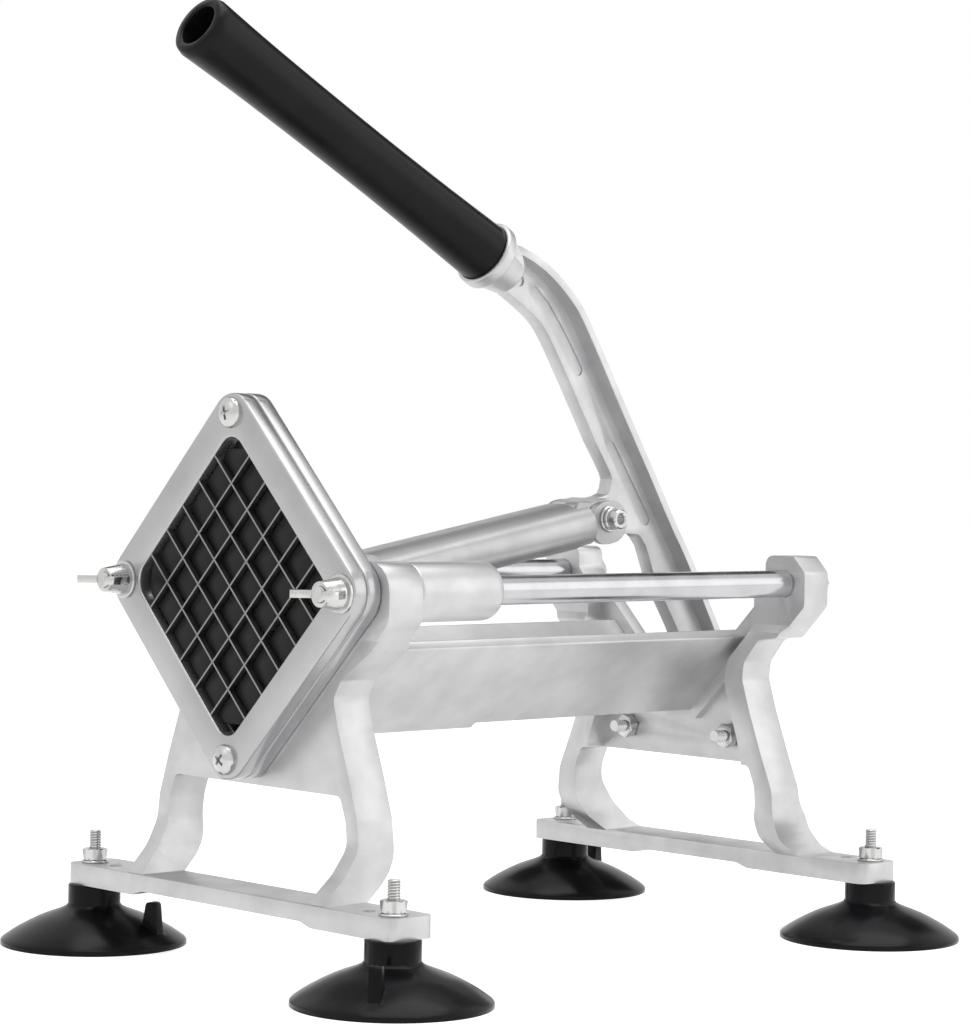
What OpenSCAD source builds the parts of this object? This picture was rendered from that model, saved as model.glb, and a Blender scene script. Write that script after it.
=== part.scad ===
// Bench-top french fry cutter: a diamond blade frame with a square grid of blades,
// a pusher block on two guide rods and a long pull-down lever behind a potato trough.
// X runs across the cutter, -Y is the side the fries come out of, +Z is up.
// The origin is on the bench, midway between the four suction cups.

/* [Blade frame] */
// Side of the square blade frame, which stands on one corner
frame_side = 108; // [104:0.5:112]
// Thickness of each of the two blade frame plates
plate_t = 6.5; // [5:0.5:8]
// Height of the blade frame's centre above the bench
centre_h = 143; // [138:1:150]
// Spacing of the cutting blades, centre to centre
cell_pitch = 13.43; // [9:0.01:13.6]
// Number of cells along one side of the grid
cells = 6; // [4:1:8]
// Thickness of a blade
blade_t = 0.73; // [0.5:0.01:1]
// Depth of a blade along the feed
blade_depth = 8.4; // [6:0.1:10]
// Side of the square opening that holds the grid
opening_side = 82.4; // [80:0.1:84]

/* [Pusher] */
// Gap between neighbouring teeth of the pusher block
tooth_gap = 1.63; // [1.2:0.01:2.5]
// Length of the pusher teeth
tooth_len = 11; // [10:0.5:11.5]
// Thickness of the pusher block's base
block_t = 8; // [6:0.5:9]
// Thickness of the carriage plate behind the block
carriage_t = 6; // [5:0.5:7]

/* [Guides] */
// Distance of a guide rod's axis from the blade frame's side corner
rod_inset = 12.3675; // [11.8:0.0005:13]
// Diameter of a guide rod
rod_d = 11; // [9:0.5:12]
// Radial clearance of every running fit
run_fit = 0.06; // [0.02:0.01:0.1]
// Outside diameter of a carriage sleeve
sleeve_d = 22; // [18:0.5:24]
// Length of a carriage sleeve
sleeve_len = 42.7; // [30:0.5:60]

/* [Base] */
// Thickness of a casting along the feed
cast_t = 16; // [14:0.5:18]
// Length of a foot bar
bar_len = 192; // [186:1:200]
// Depth of a foot bar
bar_w = 21.8; // [18:0.2:24]
// Distance across the cutter between the cup studs
cup_span_x = 177; // [174:1:180]
// Distance along the cutter between the cup studs
cup_span_y = 256.6; // [250:0.2:262]
// Radius of a suction cup at its rim
cup_r = 36.1; // [30:0.1:40]
// Height of a suction cup with its neck
cup_h = 23.4; // [20:0.1:26]
// Radius of a bench screw hole
bench_hole_r = 2.6; // [2:0.1:3]
// Distance of a bench screw hole from the cup stud beside it
bench_inset = 13.5; // [12.5:0.5:15]

/* [Trough] */
// Thickness of the trough's side walls
trough_wall = 4.5; // [3.5:0.1:5]
// Height of the trough's lips above the bench
lip_h = 123.5; // [112:0.5:126]

/* [Lever] */
// Height of the lever's main pivot above the bench
pivot_h = 80; // [78:0.5:82]
// Half the width of the lever arm's rear flange
flange_half = 11; // [8:0.5:11.5]
// Thickness of the lever arm's web
web_t = 7; // [5:0.5:9]
// Diameter of the handle grip at its middle
grip_d = 22; // [20:0.5:24]
// Length of the handle grip
grip_len = 166; // [120:1:170]
// Width of the push link
link_w = 32; // [30:0.5:33]
// Height of the push link's body
link_h = 19.5; // [16:0.5:20]

/* [Hidden] */
$fn = 64;
root2 = sqrt(2);

// Stations along the feed, from the front face of the blade frame backwards
face_y = -134.3;
seam_y = face_y + plate_t;
cast_y = seam_y + plate_t;
cast_end = cast_y + cast_t;
rear_y = 100.2;
rear_t = 14;
rear_web_t = 6.5;
rear_end = rear_y + rear_t;
bar_y = cup_span_y / 2;
bar_mid = bar_y - 2.5;
leg_y = cast_y + 1.3;
leg_end = cast_end + 2;
rear_leg_y = rear_y - 2.4;
web_y = rear_end - rear_web_t;
stud_x = cup_span_x / 2;
bench_x = stud_x - bench_inset;
bar_top = cup_h + 8;

// Rods and fasteners
rod_x = frame_side / root2 - rod_inset;
rod_r = rod_d / 2;
rod_z = centre_h;
stub_r = 3;
screw_z = rod_x;
sleeve_y = cast_end + 0.3;

// Blade grid
grid_half = cells * cell_pitch / 2;
blade_y = face_y + 0.6;
blade_tab = 3;
slot_gap = 0.04;

// Pusher
tooth = cell_pitch - tooth_gap;
block_y = cast_y + 1;
block_side = cells * cell_pitch - tooth_gap + 1;
carriage_y = block_y + block_t;
arm_y = cast_end + 0.5;
arm_half = 9;

// Trough section lines: the inner walls are z = |x| + v_in
v_in = centre_h - opening_side / root2;
v_out = v_in - trough_wall * root2;
floor_in = 90.5 - 84.73 + v_in;
floor_out = 86 - 84.73 + v_in;
step_out = 88 - 84.73 + v_in;
notch_v = v_in + 6.5;

// Lever pivots in the side view
p0 = [135.7, pivot_h];
p1 = p0 + [-86.5, 88];
p2 = [-79.3, centre_h + 2];
link_len = norm(p1 - p2);
link_tilt = atan2(p1[1] - p2[1], p1[0] - p2[0]);
pivot_bolt_r = 4;
link_bolt_r = 3;
boss_half = 11.3;
ear_in = 11.6;
ear_out = link_w / 2 - 1.3;
link_drop = 1.2;
grip_tilt = atan2(77, 147);
grip_at = p0 + [-141.5, 191.2];

// ---------- helpers ----------

// One rounded corner b between a and c, as points of its arc; b is [x, y, radius]
function corner(a, b, c, n = 5) =
  let (p = [b[0], b[1]], u = [a[0] - b[0], a[1] - b[1]], v = [c[0] - b[0], c[1] - b[1]],
       un = u / norm(u), vn = v / norm(v), r = b[2],
       t = acos(max(-1, min(1, un * vn))))
  r <= 0 || t > 178 ? [p] :
  let (mid = (un + vn) / norm(un + vn), ctr = p + mid * r / sin(t / 2),
       s = p + un * r / tan(t / 2) - ctr, e = p + vn * r / tan(t / 2) - ctr,
       a0 = atan2(s[1], s[0]), d = atan2(s[0] * e[1] - s[1] * e[0], s * e))
  [for (i = [0 : n]) ctr + r * [cos(a0 + d * i / n), sin(a0 + d * i / n)]];

// A closed outline with its corners rounded
function rounded(pts, n = 5) =
  [for (i = [0 : len(pts) - 1], q = corner(pts[(i + len(pts) - 1) % len(pts)], pts[i],
                                           pts[(i + 1) % len(pts)], n)) q];

// A smooth curve through the points
function spline(pts, n = 4) =
  let (m = len(pts) - 1)
  [for (i = [0 : m - 1], k = [0 : n - 1])
     let (t = k / n, a = pts[max(0, i - 1)], b = pts[i], c = pts[i + 1], d = pts[min(m, i + 2)])
     0.5 * (2 * b + (c - a) * t + (2 * a - 5 * b + 4 * c - d) * t * t
            + (3 * b - a - 3 * c + d) * t * t * t),
   pts[m]];

// The same open curve moved sideways by d
function beside(pts, d) =
  let (m = len(pts) - 1)
  [for (i = [0 : m])
     let (t = pts[min(m, i + 1)] - pts[max(0, i - 1)], n = [-t[1], t[0]] / norm(t))
     pts[i] + n * d];

function flipped(pts) = [for (i = [len(pts) - 1 : -1 : 0]) pts[i]];
function placed(pts, at) = [for (p = pts) len(p) > 2 ? [p[0] + at[0], p[1] + at[1], p[2]] : p + at];
function both_sides(half) =
  concat(half, [for (i = [len(half) - 1 : -1 : 0]) [-half[i][0], half[i][1], half[i][2]]]);

// An XZ outline extruded along the feed
module across(pts, y0, depth) {
  translate([0, y0 + depth, 0])
    rotate([90, 0, 0])
      linear_extrude(depth)
        polygon(pts);
}

// A side-view outline extruded across the cutter
module side(pts, x0, width) {
  translate([x0, 0, 0])
    rotate([90, 0, 90])
      linear_extrude(width)
        polygon(pts);
}

module rod_along(x, z, y0, y1, r) {
  translate([x, y1, z])
    rotate([90, 0, 0])
      cylinder(h = y1 - y0, r = r);
}

module rod_across(y, z, x0, x1, r) {
  translate([x0, y, z])
    rotate([0, 90, 0])
      cylinder(h = x1 - x0, r = r);
}

module hex_along(x, z, y0, y1, flats) {
  translate([x, y1, z])
    rotate([90, 0, 0])
      cylinder(h = y1 - y0, r = flats / sqrt(3), $fn = 6);
}

module hex_across(y, z, x0, x1, flats) {
  translate([x0, y, z])
    rotate([0, 90, 0])
      cylinder(h = x1 - x0, r = flats / sqrt(3), $fn = 6);
}

module each_side() {
  for (s = [-1, 1])
    translate([s * rod_x, 0, 0])
      children();
}

// A square standing on one corner, with rounded corners
function diamond(width, r) =
  let (h = width / root2)
  rounded([[h, rod_z, r], [0, rod_z + h, r], [-h, rod_z, r], [0, rod_z - h, r]], 8);

// ---------- castings ----------

// A foot bar with raised screw pads at its ends
module foot_bar(pad_x) {
  intersection() {
    across([[-bar_len / 2, cup_h], [-pad_x - 6, cup_h], [-pad_x, cup_h + 1.8],
            [pad_x, cup_h + 1.8], [pad_x + 6, cup_h], [bar_len / 2, cup_h],
            [bar_len / 2, bar_top], [-bar_len / 2, bar_top]], -bar_w / 2, bar_w);
    translate([0, 0, cup_h - 1])
      linear_extrude(12)
        polygon(rounded([for (p = [[1, 1], [-1, 1], [-1, -1], [1, -1]])
          [p[0] * bar_len / 2, p[1] * bar_w / 2, 4.5]], 3));
  }
}

// Stud and bench screw holes of one foot bar
module bar_holes() {
  for (s = [-1, 1]) {
    translate([s * stud_x, 0, cup_h - 1])
      cylinder(h = 12, r = 2.4);
    translate([s * bench_x, 0, cup_h - 1])
      cylinder(h = 12, r = bench_hole_r);
  }
}

module front_frame() {
  ear_top = rod_z + 11.2;
  outline = rounded(both_sides([
    [0.01, v_in, 0], [rod_x - 9, v_in + rod_x - 9, 6], [rod_x - 9, ear_top, 4], [rod_x + 11.5, ear_top, 10.5],
    [rod_x + 11.5, rod_z - 10, 8], [rod_x + 1, 122.3, 8], [48, 110.6, 4], [44, 103.6, 5],
    [47.2, 92.5, 20], [53.2, 76.6, 30], [58.4, 61, 12], [59.8, 50, 20], [58.6, 38, 20],
    [58.6, 29, 0], [48.6, 29, 0], [51.2, 41, 20], [53, 52, 20], [52, 60, 12],
    [48.7, 69, 3]]));
  profile = rounded([
    [leg_y, ear_top + 4, 0], [leg_y, 50.5, 12], [-125.4, 41.4, 16], [-130.8, 35.8, 10],
    [-134.6, 31.4, 0], [-134.6, 29, 0], [-114.9, 29, 0], [-114.9, 31, 0], [-108, 37, 14],
    [leg_end, 43.5, 14], [leg_end, rod_z - 19, 0], [cast_end, rod_z - 17, 0],
    [cast_end, ear_top + 4, 0]]);
  color("silver")
    difference() {
      union() {
        intersection() {
          across(outline, cast_y - 20, cast_t + 30);
          side(profile, -90, 180);
        }
        // raised seat behind the blade frame, and the ears beside it
        intersection() {
          across(outline, cast_y, leg_y - cast_y + 1);
          union() {
            across(diamond(frame_side, 12), cast_y - 1, 6);
            translate([-90, cast_y - 1, rod_z - 17])
              cube([180, 6, 60]);
          }
        }
        translate([0, -bar_mid, 0])
          foot_bar(47);
      }
      for (s = [-1, 1])
        rod_along(s * rod_x, rod_z, cast_y - 1, cast_end + 1, rod_r);
      rod_along(0, rod_z - screw_z, cast_y - 1, cast_y + 9, 2.5);
      translate([0, -bar_y, 0])
        bar_holes();
    }
}

// Outline of the trough's outside at its rear end, opened upwards
function trough_seat(w, up) =
  [[step_out - v_out, step_out], [w, v_out + w], [w, up], [-w, up], [-w, v_out + w],
   [v_out - step_out, step_out]];

// Inside of the rear casting's flanges, where its web stands back
function web_recess() =
  rounded(both_sides([
    [0.01, 50, 0], [43, 50, 0], [44.6, 71, 8], [38.6, 88, 20], [34.6, 101, 8], [35.6, 110, 8],
    [48, 123, 4], [48, rod_z + 20, 0]]), 4);

module rear_frame() {
  ear_top = rod_z + 11.2;
  outline = rounded(both_sides([
    [0.01, notch_v, 0], [rod_x - 10, notch_v + rod_x - 10, 3], [rod_x - 10, ear_top, 4],
    [rod_x + 5, ear_top, 3],
    [rod_x + 11.3, ear_top - 6.5, 3], [rod_x + 11.3, rod_z - 9, 4],
    [rod_x - 1.6, 120.8, 4], [rod_x - 11, 119.8, 6], [45.2, 110, 5], [44.4, 103, 7], [48.5, 90.5, 20], [55.4, 73, 30],
    [61.4, 59, 12], [62.5, 47, 20], [61, 38, 20], [61, 29, 0], [49.2, 29, 0],
    [50.2, 40, 20], [52.6, 52, 20], [51.9, 60, 12], [48.4, 68.2, 3]]));
  profile = rounded([
    [rear_y, ear_top + 4, 0], [rear_y, rod_z - 17, 0], [rear_leg_y, rod_z - 20, 0],
    [rear_leg_y, 47, 14], [103.4, 38.6, 14], [114.9, 31, 0],
    [114.9, 29, 0], [136.6, 29, 0], [136.6, 31.4, 0], [129.3, 34.9, 12], [120.7, 42.6, 16],
    [rear_end, 54, 14], [rear_end, ear_top + 4, 0]]);
  color("silver")
    difference() {
      union() {
        difference() {
          intersection() {
            across(outline, rear_y - 10, rear_t + 40);
            side(profile, -90, 180);
          }
          across(web_recess(), rear_y - 10, web_y - rear_y + 10);
        }
        // V-shaped ledge under the end of the trough
        across([[step_out - v_out, step_out], [40, v_out + 40], [40, v_out + 33.5],
                [step_out - v_out + 3, step_out - 3.5], [v_out - step_out - 3, step_out - 3.5],
                [-40, v_out + 33.5], [-40, v_out + 40], [v_out - step_out, step_out]],
               web_y - 4, 4.2);
        translate([0, bar_mid, 0])
          foot_bar(27);
      }
      across(trough_seat(46, ear_top + 2), rear_leg_y - 1, web_y - rear_leg_y + 1);
      for (s = [-1, 1]) {
        rod_along(s * rod_x, rod_z, rear_y - 1, rear_end + 1, 4);
        rod_along(s * 29, 78.5, web_y - 1, rear_end + 1, 2.5);
      }
      translate([0, bar_y, 0])
        bar_holes();
    }
}

module potato_trough() {
  lip_x = lip_h - v_in;
  drop = trough_wall / root2;
  color("silver")
    difference() {
      across([[floor_out - v_out, floor_out], [lip_x + drop, lip_h - drop], [lip_x, lip_h],
              [floor_in - v_in, floor_in], [v_in - floor_in, floor_in], [-lip_x, lip_h],
              [-lip_x - drop, lip_h - drop], [v_out - floor_out, floor_out]],
             leg_end, web_y - leg_end);
      translate([-20, -18, step_out - 10])
        cube([40, 200, 10]);
    }
}

// ---------- guides ----------

module guide_rod() {
  rod_along(0, rod_z, cast_y, rear_y, rod_r);
  rod_along(0, rod_z, face_y - 11, cast_y + 1, stub_r);
  rod_along(0, rod_z, rear_y - 1, rear_end + 7, 4);
}

module guide_rod_left() {
  color("gainsboro")
    translate([-rod_x, 0, 0])
      guide_rod();
}

module guide_rod_right() {
  color("gainsboro")
    translate([rod_x, 0, 0])
      guide_rod();
}

// Domed nuts behind the rear frame
module rod_end_nuts() {
  color("gainsboro")
    each_side()
      difference() {
        union() {
          hex_along(0, rod_z, rear_end, rear_end + 6, 12.6);
          translate([0, rear_end + 6, rod_z])
            rotate([-90, 0, 0])
              rotate_extrude()
                polygon(concat([[0, -1], [5.9, -1], [5.9, 0]],
                               [for (a = [15 : 15 : 90]) [5.9 * cos(a), 3.6 * sin(a)]]));
        }
        rod_along(0, rod_z, rear_end - 1, rear_end + 7, 4);
      }
}

// A wing nut: a conical hub with two raised wings
module wing_nut() {
  top = -1.6;
  rotate([90, 0, 0])
    difference() {
      union() {
        cylinder(h = 8.5, r1 = 6, r2 = 4.6);
        for (m = [0, 1])
          mirror([m, 0, 0])
            rotate([90, 0, 0])
              translate([0, 0, -1.4])
                linear_extrude(2.8)
                  polygon(rounded([[3, 1, 0], [6.2, 1.4, 2], [11.6, 9.4, 2], [11.2, 13.8, 2.4],
                                   [7.6, 14.2, 2.4], [3, 7.6, 0]]));
      }
      translate([0, 0, -1])
        cylinder(h = 20, r = stub_r + run_fit);
    }
}

module wing_nut_left() {
  color("gainsboro")
    translate([-rod_x, face_y - 1.2, rod_z])
      wing_nut();
}

module wing_nut_right() {
  color("gainsboro")
    translate([rod_x, face_y - 1.2, rod_z])
      wing_nut();
}

module wing_nut_washers() {
  color("gainsboro")
    each_side()
      difference() {
        rod_along(0, rod_z, face_y - 1.2, face_y, 7.2);
        rod_along(0, rod_z, face_y - 2, face_y + 1, stub_r);
      }
}

// ---------- blade frame ----------

// One blade along the local X, with a sharpened rear edge; dir says which half is slotted
module blade(dir) {
  reach = opening_side / 2 + blade_tab;
  mid = blade_depth / 2;
  difference() {
    rotate([90, 0, 90])
      translate([0, 0, -reach])
        linear_extrude(2 * reach)
          polygon([[0, -blade_t / 2], [blade_depth - 1.2, -blade_t / 2],
                   [blade_depth, -0.05], [blade_depth, 0.05],
                   [blade_depth - 1.2, blade_t / 2], [0, blade_t / 2]]);
    for (i = [1 : cells - 1])
      translate([i * cell_pitch - grid_half - blade_t / 2 - slot_gap,
                 dir > 0 ? -1 : mid - slot_gap / 2, -1])
        cube([blade_t + 2 * slot_gap, mid + slot_gap / 2 + 1, 2]);
  }
}

module blade_set(dir) {
  translate([0, blade_y, rod_z])
    rotate([0, dir * 45, 0])
      for (i = [1 : cells - 1])
        translate([0, 0, i * cell_pitch - grid_half])
          blade(dir);
}

module blades_rising() {
  color("lightgray")
    blade_set(-1);
}

module blades_falling() {
  color("lightgray")
    blade_set(1);
}

// Grooves that hold the blade tabs
module blade_grooves() {
  translate([0, blade_y - 0.01, rod_z])
    for (dir = [-1, 1])
      rotate([0, dir * 45, 0])
        for (i = [1 : cells - 1], s = [-1, 1])
          translate([s * (opening_side + blade_tab) / 2 - (blade_tab + 0.2) / 2 - 0.4,
                     0, i * cell_pitch - grid_half - blade_t / 2 - slot_gap])
            cube([blade_tab + 1, blade_depth + 0.02, blade_t + 2 * slot_gap]);
}

module blade_plate(y0, hole_r) {
  difference() {
    across(diamond(frame_side, 12), y0, plate_t);
    across(diamond(opening_side, 8), y0 - 1, plate_t + 2);
    blade_grooves();
    for (s = [-1, 1]) {
      rod_along(s * rod_x, rod_z, y0 - 1, y0 + plate_t + 1, stub_r + 0.2);
      rod_along(0, rod_z + s * screw_z, y0 - 1, y0 + plate_t + 1, hole_r);
    }
  }
}

module blade_plate_front() {
  color("silver")
    blade_plate(face_y, 2.5);
}

module blade_plate_rear() {
  color("silver")
    blade_plate(seam_y, 2.5);
}

// Pan-head screws that clamp the two plates
module blade_frame_screws() {
  color("gainsboro")
    for (s = [-1, 1])
      translate([0, face_y, rod_z + s * screw_z])
        rotate([90, 0, 0])
          difference() {
            union() {
              rotate_extrude()
                polygon([[0, 0], [5.8, 0], [5.8, 0.6], [5.2, 1.8], [3.8, 2.8], [2, 3.3], [0, 3.4]]);
              translate([0, 0, -2 * plate_t - (s < 0 ? 8 : 0)])
                cylinder(h = 2 * plate_t + (s < 0 ? 8 : 0), r = 2.5);
            }
            for (a = [0, 90])
              rotate([0, 0, a])
                translate([-2.9, -0.55, 1.4])
                  cube([5.8, 1.1, 4]);
          }
}

// ---------- pusher ----------

// Square block standing on one corner with its corners cut off
function cut_diamond(width, cut) =
  let (h = width / root2, k = h - cut)
  [for (q = [[1, 0], [0, 1], [-1, 0], [0, -1]], s = [-1, 1])
    let (a = q * k, t = [-q[1], q[0]] * s * cut)
    [a[0] + t[0], rod_z + a[1] + t[1]]];

module pusher_block() {
  color("#202020")
    difference() {
      union() {
        across(cut_diamond(block_side, 4.8), block_y, block_t);
        intersection() {
          translate([0, block_y, rod_z])
            rotate([90, 45, 0])
              for (i = [0 : cells - 1], j = [0 : cells - 1])
                translate([(i + 0.5) * cell_pitch - grid_half, (j + 0.5) * cell_pitch - grid_half,
                           tooth_len / 2 - 0.5])
                  cube([tooth, tooth, tooth_len + 1], center = true);
          across(cut_diamond(block_side, 5.6), block_y - tooth_len - 1, tooth_len + 2);
        }
      }
      for (s = [-1, 1])
        rod_along(0, rod_z + s * 26, block_y + 3, carriage_y + 1, 2);
    }
}

module pusher_screws() {
  color("gainsboro")
    for (s = [-1, 1]) {
      rod_along(0, rod_z + s * 26, block_y + 3.5, carriage_y + carriage_t + 0.5, 2);
      rod_along(0, rod_z + s * 26, carriage_y + carriage_t, carriage_y + carriage_t + 2.6, 3.8);
    }
}

// Plan outline of the two arms that reach the sleeves
function arm_plan() =
  [[-rod_x, arm_y], [rod_x, arm_y], [rod_x, arm_y + 23], [46, arm_y + 15], [25, arm_y + 5],
   [-25, arm_y + 5], [-46, arm_y + 15], [-rod_x, arm_y + 23]];

module pusher_carriage() {
  cheek = rounded([[carriage_y + 3, rod_z - arm_half, 0], [p2[0] + 9, rod_z - arm_half, 6],
                   [p2[0] + 9, rod_z + arm_half, 6], [carriage_y + 3, rod_z + arm_half, 0]]);
  color("silver")
    difference() {
      union() {
        across(cut_diamond(block_side - 4, 6.4), carriage_y, carriage_t);
        translate([0, 0, rod_z - arm_half])
          linear_extrude(2 * arm_half)
            polygon(arm_plan());
        for (s = [-1, 1])
          side(cheek, s * (link_w / 2 + 3.5) - 2.5, 5);
        each_side()
          translate([0, sleeve_y, rod_z])
            rotate([-90, 0, 0])
              rotate_extrude()
                polygon(rounded([[0, 0, 0], [sleeve_d / 2, 0, 1.5], [sleeve_d / 2, sleeve_len, 5],
                                 [0, sleeve_len, 0]]));
      }
      for (s = [-1, 1]) {
        rod_along(s * rod_x, rod_z, sleeve_y - 1, sleeve_y + sleeve_len + 1, rod_r + run_fit);
        rod_along(0, rod_z + s * 26, carriage_y - 1, carriage_y + carriage_t + 1, 2);
        rod_across(p2[0], p2[1], s * (link_w / 2 + 3.5) - 4, s * (link_w / 2 + 3.5) + 4, 3);
      }
    }
}

// Pivot studs of the link's front end, one in each cheek
module clevis_pins() {
  color("gainsboro")
    for (s = [0, 1])
      mirror([s, 0, 0]) {
        rod_across(p2[0], p2[1], link_w / 2 + 1, link_w / 2 + 6, 3);
        rod_across(p2[0], p2[1], link_w / 2 + 6, link_w / 2 + 8.4, 5);
      }
}

// ---------- push link ----------

// Cross-section of the link's body, an oval with full, rounded sides
function link_section() =
  [for (a = [0 : 11.25 : 359])
    [link_w / 2 * sign(cos(a)) * pow(abs(cos(a)), 0.8),
     link_h / 2 * sign(sin(a)) * pow(abs(sin(a)), 0.8) - link_drop]];

module push_link() {
  nose = link_len - 14;
  color("silver")
    translate([0, p2[0], p2[1]])
      rotate([link_tilt, 0, 0])
        difference() {
          union() {
            // body between the two ends
            translate([0, nose, 0])
              rotate([90, 0, 0])
                linear_extrude(nose)
                  polygon(link_section());
            // rounded nose at the carriage end
            rod_across(0, 0, -link_w / 2 + 1, link_w / 2 - 1, link_h / 2);
            // fork ears at the lever end
            for (s = [-1, 1])
              translate([s * (ear_in + ear_out) / 2, 0, 0])
                rotate([0, 90, 0])
                  translate([0, 0, -(ear_out - ear_in) / 2])
                    linear_extrude(ear_out - ear_in)
                      polygon(concat([[-link_h / 2, nose - 4], [link_h / 2, nose - 4]],
                        [for (a = [90 : -15 : -90])
                          [link_h / 2 * sin(a), link_len + link_h / 2 * cos(a)]]));
          }
          // slot of the fork, with a rounded root
          translate([-ear_in, link_len - 24, -link_h])
            cube([2 * ear_in, 60, 2 * link_h]);
          // lightening pocket on the underside
          translate([-link_w / 2 + 5, 14, -link_h])
            cube([link_w - 10, link_len - 44, link_h + 3]);
          rod_across(link_len, 0, -link_w, link_w, link_bolt_r);
          rod_across(0, 0, -link_w, link_w, 3.2);
        }
}

module link_bolt() {
  color("gainsboro")
    difference() {
      union() {
        rod_across(p1[0], p1[1], -ear_out - 6.6, ear_out + 1.5, link_bolt_r);
        rod_across(p1[0], p1[1], ear_out + 1.2, ear_out + 7, 4.6);
      }
      translate([ear_out + 4, p1[0], p1[1]])
        rotate([0, 90, 0])
          cylinder(h = 4, r = 2.4, $fn = 6);
    }
}

module link_bolt_nut() {
  color("gainsboro")
    difference() {
      hex_across(p1[0], p1[1], -ear_out - 6.2, -ear_out - 1.2, 10);
      rod_across(p1[0], p1[1], -link_w, 0, link_bolt_r);
    }
}

module link_washers() {
  color("gainsboro")
    for (s = [0, 1])
      mirror([s, 0, 0])
        difference() {
          rod_across(p1[0], p1[1], ear_out, ear_out + 1.2, 6.2);
          rod_across(p1[0], p1[1], 0, link_w, link_bolt_r);
        }
}

// ---------- lever ----------

// Front and rear edges of the arm in the side view, from the collar down to the pivot
arm_front = placed(spline([[-136.3, 178.7], [-122.9, 171.3], [-113.3, 163.6], [-102.3, 147.9],
                           [-86.9, 123.8], [-76.8, 107.5], [-61.5, 84], [-49.9, 65.7],
                           [-33.7, 41.5], [-20.5, 18.5], [-10.6, 3]]), p0);
arm_rear = placed(spline([[-133, 196], [-126.2, 192.7], [-116.2, 187.2], [-106.5, 179.7],
                          [-99, 172], [-88.4, 156.3], [-73.3, 132.3], [-57.5, 107.9],
                          [-44.5, 87.3], [-33.2, 70.6], [-15.4, 40.9], [-3, 19],
                          [9.4, 4]]), p0);

module lever_arm() {
  color("silver")
    difference() {
      union() {
        // web
        side(concat(arm_front, flipped(arm_rear)), -web_t / 2, web_t);
        // flange along the rear edge
        side(concat(arm_rear, flipped(beside(arm_rear, -3))), -flange_half, 2 * flange_half);
        // pivot boss
        rod_across(p0[0], p0[1], -boss_half, boss_half, 11);
        // lobe that carries the push link
        side(placed(rounded([[-66, 113, 0], [-82, 98.5, 14], [-96, 98, 8], [-96, 79, 8],
                             [-78, 78, 14], [-52, 66, 0]]), p0), -web_t / 2, web_t);
        rod_across(p1[0], p1[1], -boss_half, boss_half, 9);
        // collar that takes the handle
        translate([0, grip_at[0], grip_at[1]])
          rotate([90 - grip_tilt, 0, 0])
            translate([0, 0, -12])
              rotate_extrude()
                polygon(rounded([[0, 0, 0], [9.6, 0, 1], [10.8, 5, 4], [12, 10.2, 1],
                                 [13.8, 11, 1], [13.8, 16, 1.2], [0, 16, 0]]));
      }
      translate([0, grip_at[0], grip_at[1]])
        rotate([90 - grip_tilt, 0, 0]) {
          cylinder(h = 6, r = grip_d / 2 + 1.3);
          translate([0, 0, -8])
            cylinder(h = 9, r = 8);
        }
      rod_across(p0[0], p0[1], -boss_half - 1, boss_half + 1, pivot_bolt_r + run_fit);
      rod_across(p1[0], p1[1], -boss_half - 1, boss_half + 1, link_bolt_r + run_fit);
    }
}

// Steel tube inside the grip
module handle_tube() {
  color("gray")
    translate([0, grip_at[0], grip_at[1]])
      rotate([90 - grip_tilt, 0, 0])
        translate([0, 0, -8])
          cylinder(h = grip_len - 2, r = 8);
}

// Waisted grip with an open end
module handle_grip() {
  r = grip_d / 2;
  color("#1b1b1b")
    translate([0, grip_at[0], grip_at[1]])
      rotate([90 - grip_tilt, 0, 0])
        rotate_extrude()
          polygon(concat([[8, 0.2], [r + 1.1, 0.2]],
            spline([[r + 1.1, 6], [r + 0.3, grip_len * 0.25], [r, grip_len * 0.5],
                    [r + 0.4, grip_len * 0.8], [r + 1.3, grip_len - 3]], 5),
            [[r + 0.6, grip_len - 0.6], [r - 0.2, grip_len], [8, grip_len]]));
}

// ---------- pivot bracket ----------

module pivot_bracket() {
  ear = rounded([[rear_end + 1, 70.5, 0], [p0[0] + 3, 70, 4], [p0[0] + 13, 72, 9],
                 [p0[0] + 11, 89.5, 9], [p0[0] - 6, 90.3, 6], [rear_end + 1, 88, 0]]);
  color("silver")
    difference() {
      union() {
        across(rounded([for (p = [[1, 89], [-1, 89], [-1, 70.5], [1, 70.5]])
          [p[0] * 37, p[1], 5]]), rear_end, 5);
        for (s = [-1, 1])
          side(ear, s * 15.6 - 3, 6);
        // webs that brace the ears to the base
        for (s = [0, 1])
          mirror([s, 0, 0])
            translate([0, 0, 76])
              linear_extrude(6)
                polygon([[17, rear_end + 3], [34, rear_end + 3], [34, rear_end + 6],
                         [24, rear_end + 10], [17, rear_end + 12]]);
      }
      rod_across(p0[0], p0[1], -60, 60, pivot_bolt_r);
      for (s = [-1, 1])
        rod_along(s * 29, 78.5, rear_end - 1, rear_end + 40, 2.5);
    }
}

module lever_pivot_bolt() {
  color("gainsboro")
    union() {
      rod_across(p0[0], p0[1], -25.6, 18.8, pivot_bolt_r);
      hex_across(p0[0], p0[1], 18.6, 23.8, 13);
    }
}

module lever_pivot_nut() {
  color("gainsboro")
    difference() {
      hex_across(p0[0], p0[1], -24.6, -18.6, 13);
      rod_across(p0[0], p0[1], -30, 0, pivot_bolt_r);
    }
}

module bracket_bolts() {
  color("gainsboro")
    for (s = [-1, 1])
      rod_along(s * 29, 78.5, web_y - 9.7, rear_end + 5, 2.5);
}

module bracket_nuts() {
  color("gainsboro")
    for (s = [-1, 1])
      difference() {
        hex_along(s * 29, 78.5, web_y - 4.2, web_y, 9);
        rod_along(s * 29, 78.5, web_y - 8, web_y + 1, 2.5);
      }
}

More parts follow.
